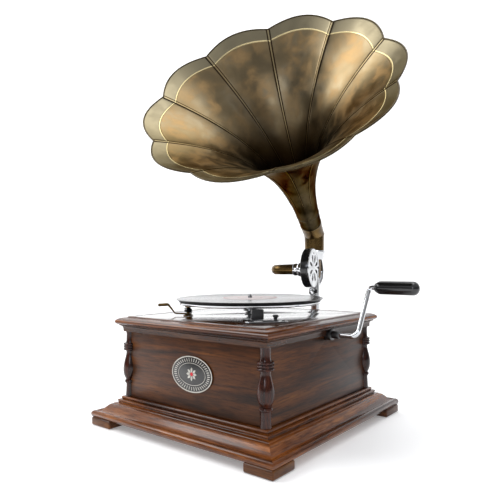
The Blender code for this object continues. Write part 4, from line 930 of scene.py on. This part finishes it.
badgeMiddle = middle("badge_plate")
badgeFront = Vector((badgeMiddle.x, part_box("badge_plate")[0].y, badgeMiddle.z))
badge = {"width": 0.0420, "height": 0.0270, "rays": 44, "border": 0.0018, "line": 0.0008, "sides": 96,
         "petals": 8, "petalLength": 0.0075, "petalHalf": 0.0019, "flower": (0.0030, 0.0024)}
refined("badge_plate", blackEnamel, 0.0003)
badgeMatrix = facing(badgeFront, (0, -1, 0))


def ovalBand(name, width, height, wide, thick, material):  # a flat raised oval line
    work = bmesh.new()
    rows = []
    sides = badge["sides"]
    for part, lift in ((-0.5, 0.0), (-0.4, 1.0), (0.4, 1.0), (0.5, 0.0)):
        rows.append([work.verts.new((
            (width + wide * part) * math.cos(tau * i / sides),
            (height + wide * part) * math.sin(tau * i / sides), thick * lift)) for i in range(sides)])
    for first, second in zip(rows, rows[1:] + rows[:1]):
        for i in range(sides):
            j = (i + 1) % sides
            work.faces.new((first[i], first[j], second[j], second[i]))
    bmesh.ops.recalc_face_normals(work, faces=work.faces)
    work.transform(badgeMatrix)
    mesh = meshFrom(work, name)
    smoothEdges(mesh)
    return makeObject(name, mesh, material)


def flatShape(name, loop, thick, material, matrix):  # a raised flat outline
    work = bmesh.new()
    low = [work.verts.new((x, y, -0.0001)) for x, y in loop]
    high = [work.verts.new((x, y, thick)) for x, y in loop]
    work.faces.new(high)
    work.faces.new(low[::-1])
    for i in range(len(loop)):
        j = (i + 1) % len(loop)
        work.faces.new((low[i], low[j], high[j], high[i]))
    bmesh.ops.recalc_face_normals(work, faces=work.faces)
    work.transform(matrix)
    return makeObject(name, meshFrom(work, name), material)


ornament = [ovalBand("badge_border", badge["width"] - 0.0012, badge["height"] - 0.0012, badge["border"],
                     0.0006, silverInlay),
            ovalBand("badge_line", badge["width"] * 0.66, badge["height"] * 0.60, badge["line"], 0.0004,
                     silverInlay)]
bar = flatShape("badge_bar", [(-0.0026, -0.0005), (0.0026, -0.0005), (0.0026, 0.0005), (-0.0026, 0.0005)],
                0.0004, silverInlay, Matrix.Identity(4))
ornament.append(setOut("badge_rays", bar, badge["rays"], badge["width"] * 0.82, badge["height"] * 0.78,
                       badgeMatrix, silverInlay))
bpy.data.objects.remove(bar)
petalSide = [(badge["petalLength"] * i / 8, badge["petalHalf"] * math.sin(math.pi * i / 8)) for i in range(9)]
petal = flatShape("badge_petal", petalSide + [(x, -y) for x, y in petalSide[7:0:-1]], 0.0005, silverInlay,
                  Matrix.Identity(4))
ornament.append(setOut("badge_flower", petal, badge["petals"], *badge["flower"], badgeMatrix, silverInlay))
bpy.data.objects.remove(petal)
gem = turned("badge_gem", [(0, 0.0014), (0.0014, 0.0012), (0.0026, 0.0006), (0.0030, 0.0), (0, -0.0001)],
             badgeFront, (0, -1, 0), redEnamel, 32)
ornament.append(gem)
joined("badge_ornament", ornament, "cabinet")
print("deck and badge made")

# bracket, tone arm and sound box

refined("back_bracket", chromePlate, angle=40)
refined("bracket_screw", blackGloss, 0.0003)
bracket = {"screw": 0.0036, "screws": 4, "screwOut": 0.0340, "plateHeight": 0.1020, "plateThick": 0.0073}
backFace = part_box("rear_panel")[1].y
boardScrew = screwHead("screw_pattern", bracket["screw"], chromePlate)
boardScrews = setOut("bracket_screws", boardScrew, bracket["screws"], bracket["screwOut"],
                     bracket["screwOut"],
                     facing((pivot.x, backFace + bracket["plateThick"], bracket["plateHeight"]), (0, 1, 0)),
                     chromePlate, math.radians(45))
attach(boardScrews, "cabinet")
refined("tone_arm", pipeBrass, angle=40)
refined("gooseneck", pipeBrass, angle=40)

soundBox = {"turn": math.radians(15.8), "back": (0.1093, 0.0064, 0.2545), "tubeHeight": 0.2520,
            "face": 0.0141, "screw": 0.0015, "screws": 3, "screwOut": 0.0235, "sides": 96}
boxAxis = Vector((math.cos(soundBox["turn"]), math.sin(soundBox["turn"]), 0))
boxBack = place(*soundBox["back"])
casePiece = turned("sound_box_shell", [
    (0.0060, 0.0), (0.0270, 0.0), (0.0298, 0.0004), (0.0308, 0.0014), (0.0310, 0.0026), (0.0310, 0.0114),
    (0.0307, 0.0122), (0.0300, 0.0124), (0.0275, 0.0124), (0.0275, 0.0022), (0.0060, 0.0020)],
    boxBack, boxAxis, blackGloss, soundBox["sides"], closed=True)
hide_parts("sound_box_case")
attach(casePiece, "head")
collarSeat = Vector((boxBack.x, boxBack.y, soundBox["tubeHeight"]))
collar = turned("sound_box_collar", [
    (0.0086, -0.0190), (0.0092, -0.0190), (0.0097, -0.0184), (0.0097, -0.0142), (0.0092, -0.0134),
    (0.0092, -0.0120), (0.0104, -0.0112), (0.0110, -0.0100), (0.0110, -0.0062), (0.0104, -0.0052),
    (0.0096, -0.0044), (0.0108, -0.0030), (0.0112, -0.0006), (0.0086, -0.0006)],
    collarSeat, boxAxis, chromePlate, 56, closed=True)
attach(collar, "head")
refined("sound_box_face", chromePlate, 0.0002)
rim = turned("sound_box_ring", [
    (0.0280, 0.0139), (0.0288, 0.0144), (0.0300, 0.0143), (0.0306, 0.0136), (0.0306, 0.0128),
    (0.0280, 0.0130)],
    boxBack, boxAxis, chromePlate, soundBox["sides"], closed=True)
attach(rim, "head")
refined("diaphragm", micaSheet)
tinyScrew = screwHead("small_screw_pattern", soundBox["screw"], chromePlate)
faceScrews = setOut("sound_box_screws", tinyScrew, soundBox["screws"], soundBox["screwOut"],
                    soundBox["screwOut"],
                    facing(boxBack + boxAxis * soundBox["face"], boxAxis), chromePlate, math.radians(90))
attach(faceScrews, "head")
refined("needle_bar", chromePlate, angle=50)
refined("needle_screw", blackGloss, 0.0002)
refined("needle", oiledSteel)
bpy.data.objects.remove(boardScrew)
bpy.data.objects.remove(tinyScrew)
print("bracket, arm and sound box made")

# motor, hidden in the cabinet

refined("motor_plate", castIron, 0.0006)
refined("motor_bridge", oiledSteel, 0.0004)
for number in (1, 2, 3):
    refined(f"motor_pillar_{number}", oiledSteel)
    refined(f"governor_weight_{number}", brightBrass)
refined("governor_bracket", brightBrass, 0.0003)
for name in ("spring_barrel", "barrel_cover", "intermediate_gear", "governor_disc"):
    refined(name, brightBrass)
for name in ("mainspring", "barrel_arbor", "winding_shaft", "governor_shaft"):
    refined(name, oiledSteel)
print("motor made")

# floor, lights and camera

viewHeading = math.radians(37.94)
sweep = {"behind": 1.7, "before": 4.0, "bend": 0.8, "height": 4.0, "side": 5.0}


def makeStage():  # a paper sweep: floor, curve and back wall square to the camera
    material, tree, shader = newMaterial("pale paper sweep", Roughness=0.9, Emission_Strength=0.22)
    shader.inputs["Emission Color"].default_value = hexColour("#ffffff")
    where = addNode(tree, "ShaderNodeTexCoord")
    tooth = addNode(tree, "ShaderNodeTexNoise", {"Vector": where.outputs["Object"], "Scale": 3.0,
                                                 "Detail": 2.0})
    tone = setRamp(addNode(tree, "ShaderNodeValToRGB", {0: tooth}), [(0.3, "#f3f3f3"), (0.7, "#f6f6f6")])
    tree.links.new(tone.outputs[0], shader.inputs["Base Color"])
    line = [(-sweep["before"], 0.0), (sweep["behind"] - sweep["bend"], 0.0)]
    for step in range(1, 17):
        angle = math.radians(90 * step / 16)
        line.append((sweep["behind"] - sweep["bend"] + sweep["bend"] * math.sin(angle),
                     sweep["bend"] * (1 - math.cos(angle))))
    line.append((sweep["behind"], sweep["height"]))
    work = bmesh.new()
    rows = [[work.verts.new((side, along, height - 0.0005)) for side in (-sweep["side"], sweep["side"])]
            for along, height in line]
    for first, second in zip(rows, rows[1:]):
        work.faces.new((first[0], first[1], second[1], second[0]))
    work.transform(Matrix.Translation(place(0, 0, 0)) @ Matrix.Rotation(viewHeading, 4, "Z"))
    floor = makeObject("floor", meshFrom(work, "floor"), material)
    floor.data.shade_smooth()


makeStage()


def addLight(name, spot, target, size, power, colour):
    light = bpy.data.lights.new(name, "AREA")
    light.shape, light.size, light.energy = "DISK", size, power
    light.color = hexColour(colour)[:3]
    lamp = bpy.data.objects.new(name, light)
    bpy.context.scene.collection.objects.link(lamp)
    lamp.location = spot
    lamp.rotation_euler = (Vector(target) - Vector(spot)).to_track_quat("-Z", "Y").to_euler()


lights = {  # where it hangs, what it points at, its width, its power in watts, its colour
    "key": ((-1.7, -1.3, 2.1), (0, 0, 0.2), 1.9, 48, "#ffffff"),
    "top": ((0.2, 0.1, 2.5), (0, 0, 0.2), 1.8, 26, "#ffffff"),
    "window": ((0.9, -1.9, 0.75), (0.1, 0, 0.5), 0.55, 5, "#eef3ff"),
}
for name, (spot, target, size, power, colour) in lights.items():
    addLight(name, place(*spot), place(*target), size, power, colour)


def makeWorld():  # light overhead, darker round the walls, so that polished metal has something to show
    world = bpy.data.worlds.new("studio")
    bpy.context.scene.world = world
    world.use_nodes = True
    tree = world.node_tree
    where = addNode(tree, "ShaderNodeTexCoord")
    height = addNode(tree, "ShaderNodeSeparateXYZ", {0: where.outputs["Generated"]})
    tone = setRamp(addNode(tree, "ShaderNodeValToRGB", {0: height.outputs["Z"]}),
                   [(0.0, "#4c4a48"), (0.18, "#8a8988"), (0.45, "#dcdde0"), (1.0, "#f2f4f8")])
    back = tree.nodes["Background"]
    tree.links.new(tone.outputs[0], back.inputs["Color"])
    back.inputs["Strength"].default_value = 0.8


makeWorld()

camera = {"sensor": 36.0, "lens": 37.02096, "shiftX": -0.02166, "shiftY": 0.00036, "near": 0.02,
          "spot": (0.5582, -0.685, 0.261), "pitch": 1.67, "roll": -0.30}


def makeCamera():
    data = bpy.data.cameras.new("camera")
    data.sensor_width, data.lens, data.clip_start = camera["sensor"], camera["lens"], camera["near"]
    data.shift_x, data.shift_y = camera["shiftX"], camera["shiftY"]
    obj = bpy.data.objects.new("camera", data)
    bpy.context.scene.collection.objects.link(obj)
    turn = Matrix.Rotation(viewHeading, 4, "Z") @ Matrix.Rotation(
        math.radians(90 + camera["pitch"]), 4, "X") @ Matrix.Rotation(math.radians(camera["roll"]), 4, "Z")
    obj.matrix_world = Matrix.Translation(place(*camera["spot"])) @ turn
    bpy.context.scene.camera = obj


makeCamera()
bpy.context.scene.view_settings.view_transform = "Standard"
print("scene ready")
